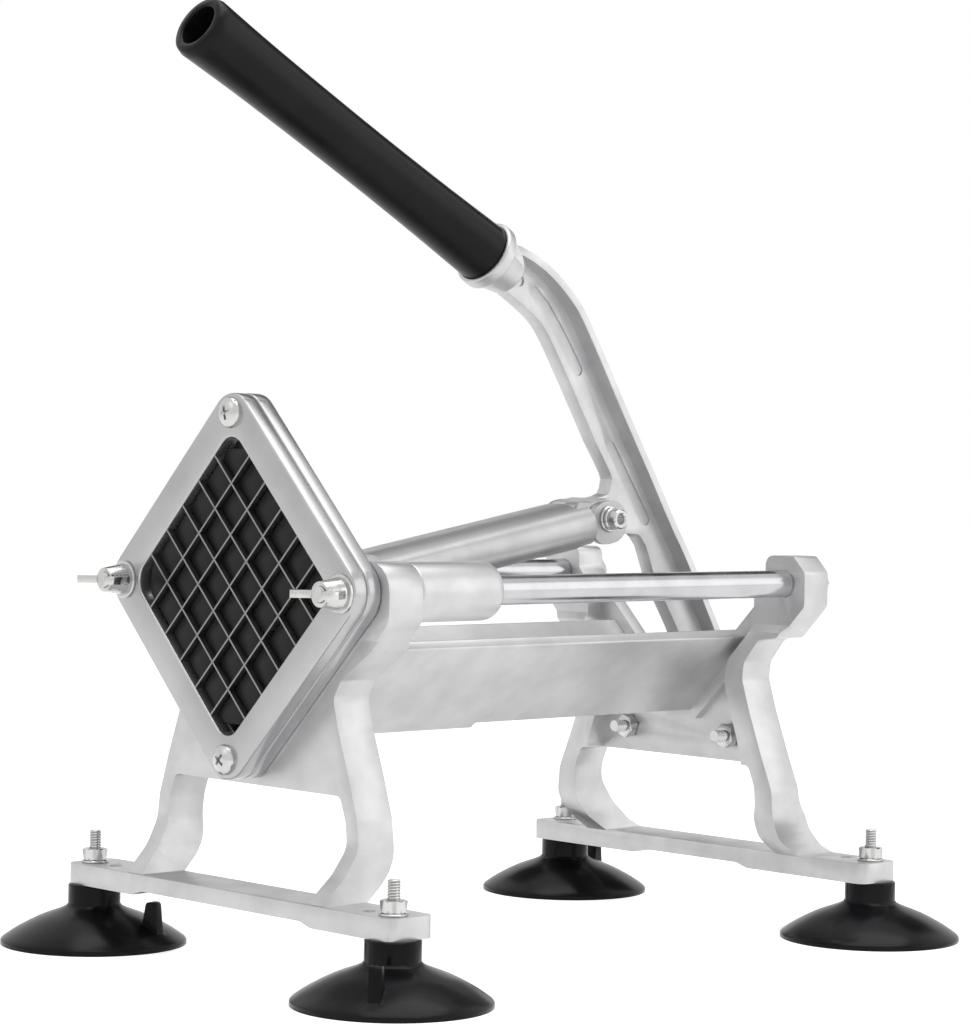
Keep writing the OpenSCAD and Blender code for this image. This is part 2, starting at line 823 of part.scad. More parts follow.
// ---------- feet ----------

// A suction cup with its neck and release tab; turn points the tab
module suction_cup(sx, sy, turn) {
  color("#2a2a2a")
    translate([sx * stud_x, sy * bar_y, 0])
      difference() {
        union() {
          rotate_extrude($fn = 96)
            polygon(concat([[0, 3], [cup_r * 0.45, 2.4], [cup_r - 3.4, 0], [cup_r, 0], [cup_r, 1.6]],
              spline([[cup_r - 0.7, 2.4], [cup_r * 0.83, 6], [cup_r * 0.6, 10.3],
                      [cup_r * 0.38, 13.3], [11, 14.6]], 3),
              [[10.2, 15.6], [10.2, cup_h - 0.6], [9.6, cup_h], [0, cup_h]]));
          rotate([0, 0, turn])
            translate([cup_r * 0.72, 0, 4])
              rotate([90, 0, 0])
                translate([0, 0, -2.3])
                  linear_extrude(4.6)
                    polygon(rounded([[-3.4, 0, 0], [4.6, 0, 0], [3.2, 14, 1.5], [-1, 14, 1.5]], 3));
        }
        translate([0, 0, cup_h - 11])
          cylinder(h = 12, r = 2.4);
      }
}

module suction_cup_front_left() {
  suction_cup(-1, -1, 21);
}

module suction_cup_front_right() {
  suction_cup(1, -1, -53);
}

module suction_cup_rear_left() {
  suction_cup(-1, 1, 106);
}

module suction_cup_rear_right() {
  suction_cup(1, 1, 130);
}

module at_studs() {
  for (sx = [-1, 1], sy = [-1, 1])
    translate([sx * stud_x, sy * bar_y, 0])
      children();
}

module foot_studs() {
  color("gainsboro")
    at_studs()
      translate([0, 0, cup_h - 11])
        cylinder(h = 31.6, r = 2.4);
}

module foot_nuts() {
  color("gainsboro")
    at_studs()
      difference() {
        translate([0, 0, bar_top + 1])
          cylinder(h = 4.6, r = 8.7 / sqrt(3), $fn = 6);
        translate([0, 0, bar_top])
          cylinder(h = 8, r = 2.4);
      }
}

module foot_washers() {
  color("gainsboro")
    at_studs()
      difference() {
        translate([0, 0, bar_top])
          cylinder(h = 1, r = 5.25);
        translate([0, 0, bar_top - 1])
          cylinder(h = 3, r = 2.4);
      }
}

front_frame();
rear_frame();
potato_trough();
guide_rod_left();
guide_rod_right();
rod_end_nuts();
wing_nut_left();
wing_nut_right();
wing_nut_washers();
blade_plate_front();
blade_plate_rear();
blades_rising();
blades_falling();
blade_frame_screws();
pusher_carriage();
pusher_block();
pusher_screws();
clevis_pins();
push_link();
link_bolt();
link_bolt_nut();
link_washers();
lever_arm();
handle_tube();
handle_grip();
pivot_bracket();
lever_pivot_bolt();
lever_pivot_nut();
bracket_bolts();
bracket_nuts();
suction_cup_front_left();
suction_cup_front_right();
suction_cup_rear_left();
suction_cup_rear_right();
foot_studs();
foot_nuts();
foot_washers();
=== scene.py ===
"""Looks of a bench-top french fry cutter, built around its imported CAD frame.

Sizes are in millimetres until a piece is finished, and its mesh is then brought to metres.
X runs across the cutter, -Y is the side the fries come out of and +Z is up.
"""

from __future__ import annotations

import logging
import math
from dataclasses import dataclass
from enum import Enum
from typing import Iterable, Sequence

import bmesh
import bpy
from mathutils import Matrix, Vector


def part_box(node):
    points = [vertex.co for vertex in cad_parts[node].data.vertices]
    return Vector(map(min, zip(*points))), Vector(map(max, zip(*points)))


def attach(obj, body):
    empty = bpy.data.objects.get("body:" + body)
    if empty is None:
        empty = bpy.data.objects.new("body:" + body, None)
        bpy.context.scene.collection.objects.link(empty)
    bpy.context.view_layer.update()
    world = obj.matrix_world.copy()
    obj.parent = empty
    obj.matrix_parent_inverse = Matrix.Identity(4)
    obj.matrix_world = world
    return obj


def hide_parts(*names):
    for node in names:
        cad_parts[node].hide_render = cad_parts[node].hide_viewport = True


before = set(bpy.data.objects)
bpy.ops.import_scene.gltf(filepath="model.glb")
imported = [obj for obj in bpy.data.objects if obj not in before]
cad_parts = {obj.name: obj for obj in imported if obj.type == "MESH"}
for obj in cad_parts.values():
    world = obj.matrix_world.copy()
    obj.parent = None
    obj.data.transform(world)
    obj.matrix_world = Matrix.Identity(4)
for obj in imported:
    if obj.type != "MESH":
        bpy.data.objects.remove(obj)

LOG = logging.getLogger("fry_cutter")
MM = 0.001
FULL_TURN = 2 * math.pi
TINY = 1e-6
MERGE = 1e-4
WELD = 1e-3
CAD_MERGE = 0.005
CAD_FLAT = math.radians(0.6)
Pair = tuple[float, float]
Triple = tuple[float, float, float]
Profile = Sequence[Pair]
Socket = bpy.types.NodeSocket


class Slot(Enum):
    """Material slots of the record."""

    CAST = "cast_aluminium"
    ROD = "polished_rod"
    PLATED = "plated_steel"
    BLADE = "blade_steel"
    PUSHER = "pusher_plastic"
    CUP = "cup_rubber"
    GRIP = "grip_vinyl"
    TUBE = "handle_steel"


class Body(Enum):
    """Bodies of the CAD frame that a piece can ride on."""

    FRAME = "frame"
    LEVER = "lever"
    LINK = "link"
    CARRIAGE = "carriage"
    WING_LEFT = "wing_nut_l"
    WING_RIGHT = "wing_nut_r"


class Way(Enum):
    """Directions that a turned piece can point in."""

    UP = (0.0, 0.0, 1.0)
    FORWARD = (0.0, -1.0, 0.0)
    BACK = (0.0, 1.0, 0.0)
    RIGHT = (1.0, 0.0, 0.0)
    LEFT = (-1.0, 0.0, 0.0)


@dataclass(frozen=True)
class Box:
    """The box of a CAD node, in millimetres."""

    low: Vector
    high: Vector

    @property
    def size(self) -> Vector:
        """Gives its length along each axis."""
        return self.high - self.low

    @property
    def middle(self) -> Vector:
        """Gives its centre."""
        return (self.low + self.high) / 2

    def hands(self, inset: float) -> tuple[tuple[str, float], ...]:
        """Gives the name and the place along X of its left and right end, drawn in by an inset."""
        return ("left", self.low.x + inset), ("right", self.high.x - inset)


def box_of(node: str) -> Box:
    """Gives the box of a CAD node."""
    low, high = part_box(node)
    return Box(low / MM, high / MM)


def new_object(name: str, data: bpy.types.ID) -> bpy.types.Object:
    """Adds an object to the scene.

    Args:
        name: Name of the object.
        data: Its mesh, lamp or camera.

    Returns:
        The object.
    """
    thing = bpy.data.objects.new(name, data)
    bpy.context.scene.collection.objects.link(thing)
    return thing


def corners_of(made: dict[str, list]) -> list[bmesh.types.BMVert]:
    """Picks the corners out of what a mesh operator made."""
    return [part for part in made["geom"] if isinstance(part, bmesh.types.BMVert)]


# ---------------------------------------------------------------- finishes


class Graph:
    """A material's node graph around one Principled shader."""

    def __init__(self, name: str) -> None:
        """Starts a material with an empty graph.

        Args:
            name: Name of the material.
        """
        self.material = bpy.data.materials.new(name)
        self.material.use_nodes = True
        self.tree = self.material.node_tree
        self.shader = self.tree.nodes["Principled BSDF"]
        self.place = self.tree.nodes.new("ShaderNodeTexCoord").outputs["Object"]

    def add(self, kind: str, out: str, **inputs: float | Triple | Socket | None) -> Socket:
        """Adds a node, sets and links its inputs and gives one of its outputs.

        Args:
            kind: Kind of the node, without its prefix.
            out: Name of the output.
            **inputs: Input names in lower case with underscores, and their values or what feeds them.

        Returns:
            The output.
        """
        node = self.tree.nodes.new(f"ShaderNode{kind}")
        self.feed(node, **inputs)
        return node.outputs[out]

    def feed(self, node: bpy.types.Node, **inputs: float | Triple | Socket | None) -> None:
        """Sets and links the inputs of a node.

        Args:
            node: The node.
            **inputs: Input names in lower case with underscores, and their values or what feeds them.
        """
        for key, value in inputs.items():
            socket = node.inputs[key.replace("_", " ").title().replace("Ior", "IOR")]
            if isinstance(value, Socket):
                self.tree.links.new(value, socket)
            elif value is not None:
                socket.default_value = value

    def dress(self, **inputs: float | Triple | Socket | None) -> bpy.types.Material:
        """Feeds the material's shader and gives the material."""
        self.feed(self.shader, **inputs)
        return self.material

    def noise(self, scale: float, detail: float = 4.0, roughness: float = 0.55,
              at: Socket | None = None) -> Socket:
        """Adds a noise pattern with a scale per metre, on the object's own coordinates by default."""
        return self.add("TexNoise", "Fac", scale=scale, detail=detail, roughness=roughness,
                        vector=at or self.place)

    def ramp(self, value: Socket, low: Triple, high: Triple,
             start: float = 0.35, end: float = 0.65) -> Socket:
        """Turns a pattern into a range of colours.

        Args:
            value: The pattern.
            low: Colour at the pattern's low end.
            high: Colour at its high end.
            start: Pattern value where the range starts.
            end: Pattern value where it ends.

        Returns:
            The colour.
        """
        node = self.tree.nodes.new("ShaderNodeValToRGB")
        for stop, at, colour in zip(node.color_ramp.elements, (start, end), (low, high)):
            stop.position = at
            stop.color = (*colour, 1.0)
        self.tree.links.new(value, node.inputs["Fac"])
        return node.outputs["Color"]

    def spread(self, value: Socket, low: float, high: float) -> Socket:
        """Spreads a pattern over a range of numbers."""
        return self.add("MapRange", "Result", from_min=0.3, from_max=0.7, to_min=low, to_max=high, value=value)

    def bump(self, height: Socket, depth_mm: float, strength: float = 1.0, under: Socket | None = None) -> Socket:
        """Bumps the surface by a pattern, over a coarser bump if one is given, and gives the normal."""
        return self.add("Bump", "Normal", distance=depth_mm * MM, strength=strength, height=height, normal=under)


@dataclass(frozen=True)
class CastAluminium:
    """Tumbled satin casting with a fine skin and faint clouds in its tone."""

    name: str = "satin_casting"
    slot: Slot = Slot.CAST
    light: Triple = (0.625, 0.625, 0.63)
    dark: Triple = (0.555, 0.555, 0.562)
    metallic: float = 0.72
    roughness: Pair = (0.42, 0.36)
    cloud_scale: float = 70.0
    skin_scale: float = 1300.0
    skin_depth: float = 0.03
    wave_scale: float = 60.0
    wave_depth: float = 0.1

    def material(self) -> bpy.types.Material:
        """Makes the casting's material.

        Returns:
            The material.
        """
        graph = Graph(self.name)
        clouds = graph.noise(self.cloud_scale, detail=5.0)
        skin = graph.noise(self.skin_scale, detail=3.0, roughness=0.6)
        waves = graph.bump(graph.noise(self.wave_scale, detail=2.0), self.wave_depth, strength=0.25)
        return graph.dress(metallic=self.metallic, base_color=graph.ramp(clouds, self.dark, self.light),
                           roughness=graph.spread(clouds, *self.roughness),
                           normal=graph.bump(skin, self.skin_depth, strength=0.5, under=waves))


@dataclass(frozen=True)
class MilledPlate:
    """Aluminium plate with the fine straight lines of its finishing pass."""

    name: str = "milled_plate"
    slot: Slot = Slot.CAST
    light: Triple = (0.50, 0.50, 0.506)
    dark: Triple = (0.44, 0.44, 0.447)
    metallic: float = 0.8
    roughness: Pair = (0.25, 0.29)
    cloud_scale: float = 30.0
    line_scale: float = 60.0
    line_turn: float = 45.0
    line_stretch: float = 30.0
    line_depth: float = 0.001

    def material(self) -> bpy.types.Material:
        """Makes the plate's material.

        Returns:
            The material.
        """
        graph = Graph(self.name)
        turn = (0.0, math.radians(self.line_turn), 0.0)
        across = graph.add("Mapping", "Vector", scale=(1.0, 1.0, self.line_stretch), rotation=turn, vector=graph.place)
        lines = graph.noise(self.line_scale, detail=3.0, roughness=0.6, at=across)
        clouds = graph.noise(self.cloud_scale, detail=3.0)
        return graph.dress(metallic=self.metallic, base_color=graph.ramp(clouds, self.dark, self.light),
                           roughness=graph.spread(clouds, *self.roughness),
                           normal=graph.bump(lines, self.line_depth, strength=0.1))


@dataclass(frozen=True)
class Steel:
    """Steel with a plain, plated or polished surface."""

    name: str
    slot: Slot
    colour: Triple
    roughness: Pair
    metallic: float = 1.0
    scale: float = 240.0
    depth: float = 0.01
    dullest: float = 0.86

    def material(self) -> bpy.types.Material:
        """Makes the steel's material.

        Returns:
            The material.
        """
        graph = Graph(self.name)
        marks = graph.noise(self.scale)
        dull = tuple(self.dullest * part for part in self.colour)
        tone = graph.ramp(marks, dull, self.colour, start=0.3, end=0.6)
        return graph.dress(metallic=self.metallic, base_color=tone,
                           roughness=graph.spread(marks, *self.roughness),
                           normal=graph.bump(marks, self.depth, strength=0.4))


@dataclass(frozen=True)
class Moulded:
    """Black plastic, rubber or vinyl with a moulded grain."""

    name: str
    slot: Slot
    colour: Triple
    roughness: Pair
    grain_scale: float = 1400.0
    grain_depth: float = 0.02
    specular: float = 0.25
    cloud_scale: float = 40.0
    worn_gain: float = 1.5
    worn_lift: float = 0.004

    def material(self) -> bpy.types.Material:
        """Makes the moulded material.

        Returns:
            The material.
        """
        graph = Graph(self.name)
        clouds = graph.noise(self.cloud_scale, detail=3.0)
        grain = graph.noise(self.grain_scale, detail=2.0)
        worn = tuple(self.worn_gain * part + self.worn_lift for part in self.colour)
        tone = graph.ramp(clouds, self.colour, worn, start=0.4, end=0.75)
        return graph.dress(specular_ior_level=self.specular, base_color=tone,
                           roughness=graph.spread(clouds, *self.roughness),
                           normal=graph.bump(grain, self.grain_depth, strength=0.5))


Finish = CastAluminium | MilledPlate | Steel | Moulded


@dataclass(frozen=True)
class Finishes:
    """The finishes of the cutter's pieces."""

    casting: Finish = CastAluminium()
    link: Finish = CastAluminium("link_casting", light=(0.50, 0.50, 0.506), dark=(0.44, 0.44, 0.447))
    plate: Finish = MilledPlate()
    rod: Finish = Steel("polished_rod", Slot.ROD, (0.50, 0.50, 0.51), (0.17, 0.24), metallic=0.96,
                        scale=60.0, depth=0.003)
    zinc: Finish = Steel("bright_zinc", Slot.PLATED, (0.58, 0.58, 0.575), (0.14, 0.26), metallic=0.96)
    blade: Finish = Steel("ground_strip", Slot.BLADE, (0.27, 0.27, 0.275), (0.26, 0.36), metallic=0.95)
    tube: Finish = Steel("plain_tube", Slot.TUBE, (0.16, 0.16, 0.165), (0.35, 0.5), metallic=0.8)
    pusher: Finish = Moulded("pusher_black", Slot.PUSHER, (0.006, 0.006, 0.007), (0.34, 0.44), specular=0.2)
    rubber: Finish = Moulded("cup_rubber", Slot.CUP, (0.005, 0.005, 0.006), (0.19, 0.27),
                             grain_scale=900.0, grain_depth=0.01, specular=0.12)
    vinyl: Finish = Moulded("grip_vinyl", Slot.GRIP, (0.005, 0.005, 0.006), (0.27, 0.35),
                            grain_scale=1100.0, specular=0.14)


class Paints:
    """Keeps one material for each finish."""

    def __init__(self) -> None:
        """Starts with no material made."""
        self._made: dict[str, bpy.types.Material] = {}

    def of(self, finish: Finish) -> bpy.types.Material:
        """Gives the finish's material, and makes it on first use.

        Args:
            finish: The finish.

        Returns:
            Its material.
        """
        if finish.name not in self._made:
            self._made[finish.name] = finish.material()
        return self._made[finish.name]


PAINTS = Paints()


# ---------------------------------------------------------------- shaping


class Shape:
    """One mesh being shaped, in millimetres, with the steps that the cutter's pieces need."""

    def __init__(self) -> None:
        """Starts an empty mesh."""
        self.mesh = bmesh.new()

    def turn(self, profile: Profile, steps: int = 64) -> Shape:
        """Spins a profile round Z.

        Args:
            profile: Points of radius and height, from one end to the other.
            steps: Number of steps round.

        Returns:
            The shape itself.
        """
        points = [self.mesh.verts.new((radius, 0.0, height)) for radius, height in profile]
        edges = [self.mesh.edges.new(pair) for pair in zip(points, points[1:])]
        bmesh.ops.spin(self.mesh, geom=points + edges, cent=(0, 0, 0), axis=(0, 0, 1), dvec=(0, 0, 0),
                       angle=FULL_TURN, steps=steps, use_merge=True, use_duplicate=False)
        bmesh.ops.remove_doubles(self.mesh, verts=self.mesh.verts, dist=MERGE)
        return self

    def cylinder(self, radius: float, length: float, steps: int) -> Shape:
        """Spins a plain cylinder along Z from zero."""
        return self.turn([(0.0, 0.0), (radius, 0.0), (radius, length), (0.0, length)], steps)

    def slab(self, outline: Profile, depth: float) -> Shape:
        """Raises an outline in XY to a slab, upwards along Z."""
        face = self.mesh.faces.new([self.mesh.verts.new((x, y, 0.0)) for x, y in outline])
        return self.raise_faces([face], depth)

    def raise_faces(self, faces: Iterable[bmesh.types.BMFace], depth: float) -> Shape:
        """Extrudes faces along Z and keeps the faces they came from.

        Args:
            faces: The faces.
            depth: How far they go.

        Returns:
            The shape itself.
        """
        made = bmesh.ops.extrude_face_region(self.mesh, geom=list(faces), use_keep_orig=True)
        bmesh.ops.translate(self.mesh, verts=corners_of(made), vec=(0.0, 0.0, depth))
        return self

    def square_loop(self, side: float, radius: float, steps: int) -> Shape:
        """Adds the outline of a square with rounded corners, without its face.

        Args:
            side: Side of the square.
            radius: Radius of its corners.
            steps: Steps round each corner.

        Returns:
            The shape itself.
        """
        before = set(self.mesh.faces)
        made = bmesh.ops.create_grid(self.mesh, x_segments=1, y_segments=1, size=side / 2)
        bmesh.ops.bevel(self.mesh, geom=made["verts"], offset=radius, segments=steps,
                        profile=0.5, affect="VERTICES", material=-1)
        faces = [face for face in self.mesh.faces if face not in before]
        bmesh.ops.delete(self.mesh, geom=faces, context="FACES_ONLY")
        return self

    def bridge(self) -> Shape:
        """Joins the two open loops of the mesh with faces."""
        bmesh.ops.bridge_loops(self.mesh, edges=list(self.mesh.edges))
        return self

    def soften(self, width: float, segments: int = 2, least: float = 40.0) -> Shape:
        """Bevels every edge that is sharper than an angle.

        Args:
            width: Width of the bevel.
            segments: Segments across it.
            least: Least angle between the faces beside an edge, in degrees.

        Returns:
            The shape itself.
        """
        edges = [edge for edge in self.mesh.edges if len(edge.link_faces) == 2
                 and edge.calc_face_angle(0.0) > math.radians(least)]
        bmesh.ops.bevel(self.mesh, geom=edges, offset=width, segments=segments, profile=0.5,
                        affect="EDGES", material=-1, clamp_overlap=True)
        return self

    def put(self, at: Vector | Sequence[float], way: Way | Vector = Way.UP, spin: float = 0.0) -> Shape:
        """Turns the shape's Z to a direction and moves it to its place.

        Args:
            at: Where its origin goes.
            way: Where its Z points.
            spin: Turn about its own Z first, in degrees.

        Returns:
            The shape itself.
        """
        aim = Vector(way.value) if isinstance(way, Way) else Vector(way)
        turn = Vector((0, 0, 1)).rotation_difference(aim).to_matrix().to_4x4()
        matrix = Matrix.Translation(Vector(at)) @ turn @ Matrix.Rotation(math.radians(spin), 4, "Z")
        bmesh.ops.transform(self.mesh, matrix=matrix, verts=self.mesh.verts)
        return self

    def join(self, other: Shape) -> Shape:
        """Adds another shape's mesh to this one.

        Args:
            other: The other shape, which is used up.

        Returns:
            The shape itself.
        """
        spare = bpy.data.meshes.new("spare")
        other.mesh.to_mesh(spare)
        other.mesh.free()
        self.mesh.from_mesh(spare)
        bpy.data.meshes.remove(spare)
        return self

    def combine(self, other: Shape, cut: bool = False) -> Shape:
        """Joins another closed shape to this one exactly, or cuts it out.

        Args:
            other: The other shape.
            cut: Whether the other shape is cut out.

        Returns:
            The shape itself.
        """
        pair = []
        for shape in (self, other):
            bmesh.ops.recalc_face_normals(shape.mesh, faces=shape.mesh.faces)
            data = bpy.data.meshes.new("work")
            shape.mesh.to_mesh(data)
            shape.mesh.free()
            pair.append(new_object("work", data))
        step = pair[0].modifiers.new("step", "BOOLEAN")
        step.operation = "DIFFERENCE" if cut else "UNION"
        step.solver = "EXACT"
        step.object = pair[1]
        done = pair[0].evaluated_get(bpy.context.evaluated_depsgraph_get())
        self.mesh = bmesh.new()
        self.mesh.from_mesh(done.to_mesh())
        done.to_mesh_clear()
        for spare in pair:
            data = spare.data
            bpy.data.objects.remove(spare)
            bpy.data.meshes.remove(data)
        return self

    def mirrored(self) -> Shape:
        """Mirrors the shape across the cutter's middle plane."""
        bmesh.ops.scale(self.mesh, vec=(-1.0, 1.0, 1.0), verts=self.mesh.verts)
        return self

    def finish(self, name: str, finish: Finish, body: Body, *nodes: str, sharp: float = 35.0) -> bpy.types.Object:
        """Makes the finished piece.

        Args:
            name: Name of the piece.
            finish: Its finish.
            body: The body that it rides on.
            *nodes: CAD nodes that it stands for.
            sharp: Angle past which an edge stays sharp, in degrees.

        Returns:
            The piece.
        """
        bmesh.ops.remove_doubles(self.mesh, verts=self.mesh.verts, dist=MERGE)
        bmesh.ops.recalc_face_normals(self.mesh, faces=self.mesh.faces)
        bmesh.ops.scale(self.mesh, vec=(MM, MM, MM), verts=self.mesh.verts)
        data = bpy.data.meshes.new(name)
        self.mesh.to_mesh(data)
        self.mesh.free()
        data.shade_smooth()
        data.set_sharp_from_angle(angle=math.radians(sharp))
        data.materials.append(PAINTS.of(finish))
        piece = new_object(name, data)
        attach(piece, body.value)
        if nodes:
            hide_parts(*nodes)
        LOG.info("%s rides on %s, %d faces", name, body.value, len(data.polygons))
        return piece


def side_slab(outline: Profile, low: float, high: float) -> Shape:
    """Shapes a slab between two places along X from an outline in Y and Z."""
    return Shape().slab(outline, high - low).put((low, 0.0, 0.0), Way.RIGHT, spin=90.0)


def pill(path: Profile, half: float, steps: int = 8) -> list[Pair]:
    """Gives the outline of a band with round ends along a path.

    Args:
        path: Points along its middle.
        half: Half its width.
        steps: Steps round each end.

    Returns:
        The outline's corners.
    """
    points = [Vector(point) for point in path]
    outline = []
    for run in (points, points[::-1]):
        for here, after in zip(run, run[1:]):
            side = (after - here).normalized().orthogonal() * half
            outline += [here + side, after + side] if here is run[0] else [after + side]
        heading = math.atan2(side.y, side.x)
        for step in range(1, steps):
            angle = heading - math.pi * step / steps
            outline.append(run[-1] + Vector((math.cos(angle), math.sin(angle))) * half)
    return [tuple(point) for point in outline]


def copy_of(node: str) -> Shape:
    """Takes a copy of a CAD node's mesh, with its loose triangles merged into faces.

    Args:
        node: The CAD node.

    Returns:
        The copy.
    """
    shape = Shape()
    shape.mesh.from_mesh(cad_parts[node].data)
    bmesh.ops.scale(shape.mesh, vec=(1 / MM, 1 / MM, 1 / MM), verts=shape.mesh.verts)
    bmesh.ops.remove_doubles(shape.mesh, verts=shape.mesh.verts, dist=CAD_MERGE)
    bmesh.ops.dissolve_limit(shape.mesh, angle_limit=CAD_FLAT, verts=shape.mesh.verts, edges=shape.mesh.edges)
    return shape


def smooth_copy(node: str, name: str, finish: Finish, body: Body, fillet: float,
                segments: int = 3, sharp: float = 32.0, shape: Shape | None = None) -> bpy.types.Object:
    """Makes a piece from a copy of a CAD node's mesh, with its edges filleted.

    Args:
        node: The CAD node.
        name: Name of the piece.
        finish: Its finish.
        body: The body that it rides on.
        fillet: Width of the fillets, in millimetres.
        segments: Segments across a fillet.
        sharp: Least angle of an edge that gets a fillet, in degrees.
        shape: The copy, where it was worked on first.

    Returns:
        The piece.
    """
    piece = (shape or copy_of(node)).finish(name, finish, body, node, sharp=180.0)
    bevel = piece.modifiers.new("fillets", "BEVEL")
    bevel.width = fillet * MM
    bevel.segments = segments
    bevel.limit_method = "ANGLE"
    bevel.angle_limit = math.radians(sharp)
    bevel.harden_normals = True
    bevel.miter_outer = "MITER_ARC"
    return piece


def keep_node(node: str, finish: Finish) -> None:
    """Gives a CAD node that stays its finish.

    Args:
        node: The CAD node.
        finish: Its finish.
    """
    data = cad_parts[node].data
    data.materials.clear()
    data.materials.append(PAINTS.of(finish))


# ---------------------------------------------------------------- studio


@dataclass(frozen=True)
class Lamp:
    """A soft square lamp: where it hangs, its side in metres and its power in watts."""

    name: str
    at: Triple
    size: float
    power: float


@dataclass
class Studio:
    """Pale floor, soft light and the camera at the photograph's angle."""

    yaw: float = 46.86
    pitch: float = 0.35
    roll: float = 0.98
    focal_px: float = 3182.55
    centre_px: Pair = (501.76, 472.02)
    frame_px: tuple[int, int] = (972, 1024)
    eye: Triple = (0.9245, -0.86344, 0.19403)
    sensor: float = 36.0
    middle: Triple = (0.0, 0.0, 0.13)
    floor_side: float = 12.0
    floor_grey: float = 0.9
    floor_glow: float = 0.64
    world_light: float = 0.46
    cloth_at: Triple = (-0.75, 0.95, 1.05)
    cloth_size: Pair = (1.5, 0.7)
    cloth_grey: float = 0.02
    lamps: tuple[Lamp, ...] = (Lamp("key", (1.35, 1.05, 0.75), 1.3, 5.0), Lamp("top", (0.1, 0.1, 1.7), 1.4, 13.0),
                               Lamp("front", (-0.4, -1.6, 1.3), 1.0, 1.5))

    def build(self) -> None:
        """Builds the floor, the light and the camera."""
        bpy.context.scene.view_settings.view_transform = "Standard"
        self._camera()
        self._world()
        self._floor()
        for lamp in self.lamps:
            self._lamp(lamp)
        self._cloth()

    def _camera(self) -> None:
        """Sets the camera up from its measured angles."""
        yaw, pitch, roll = (math.radians(a) for a in (self.yaw, self.pitch, self.roll))
        back = Vector((math.sin(yaw) * math.cos(pitch), -math.cos(yaw) * math.cos(pitch), math.sin(pitch)))
        right = Vector((math.cos(yaw), math.sin(yaw), 0.0))
        up = back.cross(right)
        level = right * math.cos(roll) + up * math.sin(roll)
        upright = up * math.cos(roll) - right * math.sin(roll)
        width, height = self.frame_px
        longest = max(width, height)
        data = bpy.data.cameras.new("camera")
        data.sensor_width = self.sensor
        data.lens = self.focal_px * self.sensor / longest
        data.shift_x = (width / 2 - self.centre_px[0]) / longest
        data.shift_y = (self.centre_px[1] - height / 2) / longest
        camera = new_object("camera", data)
        matrix = Matrix((level, upright, back)).transposed().to_4x4()
        matrix.translation = Vector(self.eye)
        camera.matrix_world = matrix
        bpy.context.scene.camera = camera

    def _seen(self, tree: bpy.types.NodeTree) -> Socket:
        """Tells the rays that the camera, gloss or glass sends from the rest.

        Args:
            tree: Node tree that asks.

        Returns:
            One for those rays and zero for the rest.
        """
        rays = tree.nodes.new("ShaderNodeLightPath").outputs
        seen = rays["Is Camera Ray"]
        for ray in ("Is Glossy Ray", "Is Transmission Ray"):
            add = tree.nodes.new("ShaderNodeMath")
            add.operation = "MAXIMUM"
            tree.links.new(seen, add.inputs[0])
            tree.links.new(rays[ray], add.inputs[1])
            seen = add.outputs[0]
        return seen

    def _world(self) -> None:
        """Makes an even world that looks white and lights the cutter softly."""
        world = bpy.data.worlds.new("studio")
        world.use_nodes = True
        tree = world.node_tree
        lit = tree.nodes["Background"]
        white = tree.nodes.new("ShaderNodeBackground")
        for background, strength in ((lit, self.world_light), (white, 1.0)):
            background.inputs["Color"].default_value = (1.0, 1.0, 1.0, 1.0)
            background.inputs["Strength"].default_value = strength
        mix = tree.nodes.new("ShaderNodeMixShader")
        tree.links.new(self._seen(tree), mix.inputs["Fac"])
        tree.links.new(lit.outputs[0], mix.inputs[1])
        tree.links.new(white.outputs[0], mix.inputs[2])
        tree.links.new(mix.outputs[0], tree.nodes["World Output"].inputs["Surface"])
        bpy.context.scene.world = world

    def _sheet(self, name: str, size: Pair, place: Matrix, grey: float) -> bpy.types.Object:
        """Lays a matt sheet that isn't part of the cutter.

        Args:
            name: Name of the sheet.
            size: Its width and height, in metres.
            place: Where it lies, and how it is turned.
            grey: How light it is.

        Returns:
            The sheet.
        """
        shape = bmesh.new()
        bmesh.ops.create_grid(shape, x_segments=1, y_segments=1, size=0.5)
        bmesh.ops.scale(shape, vec=(*size, 1.0), verts=shape.verts)
        bmesh.ops.transform(shape, matrix=place, verts=shape.verts)
        data = bpy.data.meshes.new(name)
        shape.to_mesh(data)
        shape.free()
        material = bpy.data.materials.new(f"{name}_matt")
        material.use_nodes = True
        shader = material.node_tree.nodes["Principled BSDF"]
        shader.inputs["Base Color"].default_value = (grey, grey, grey, 1.0)
        shader.inputs["Roughness"].default_value = 1.0
        data.materials.append(material)
        sheet = new_object(name, data)
        return sheet

    def _floor(self) -> None:
        """Lays a pale floor that keeps the cutter's shadow."""
        floor = self._sheet("floor", (self.floor_side, self.floor_side), Matrix.Identity(4), self.floor_grey)
        tree = floor.active_material.node_tree
        shader = tree.nodes["Principled BSDF"]
        shader.inputs["Specular IOR Level"].default_value = 0.0
        shader.inputs["Emission Color"].default_value = (1.0, 1.0, 1.0, 1.0)
        scale = tree.nodes.new("ShaderNodeMath")
        scale.operation = "MULTIPLY"
        scale.inputs[1].default_value = self.floor_glow
        tree.links.new(self._seen(tree), scale.inputs[0])
        tree.links.new(scale.outputs[0], shader.inputs["Emission Strength"])

    def _cloth(self) -> None:
        """Hangs a dark cloth that no camera sees, which polished metal mirrors as a dark band."""
        turn = self._aim(self.cloth_at).to_track_quat("Z", "Y").to_matrix().to_4x4()
        place = Matrix.Translation(Vector(self.cloth_at)) @ turn
        cloth = self._sheet("upper_flag", self.cloth_size, place, self.cloth_grey)
        cloth.visible_camera = False

    def _aim(self, at: Sequence[float]) -> Vector:
        """Points from a place to the cutter's middle."""
        return Vector(self.middle) - Vector(at)

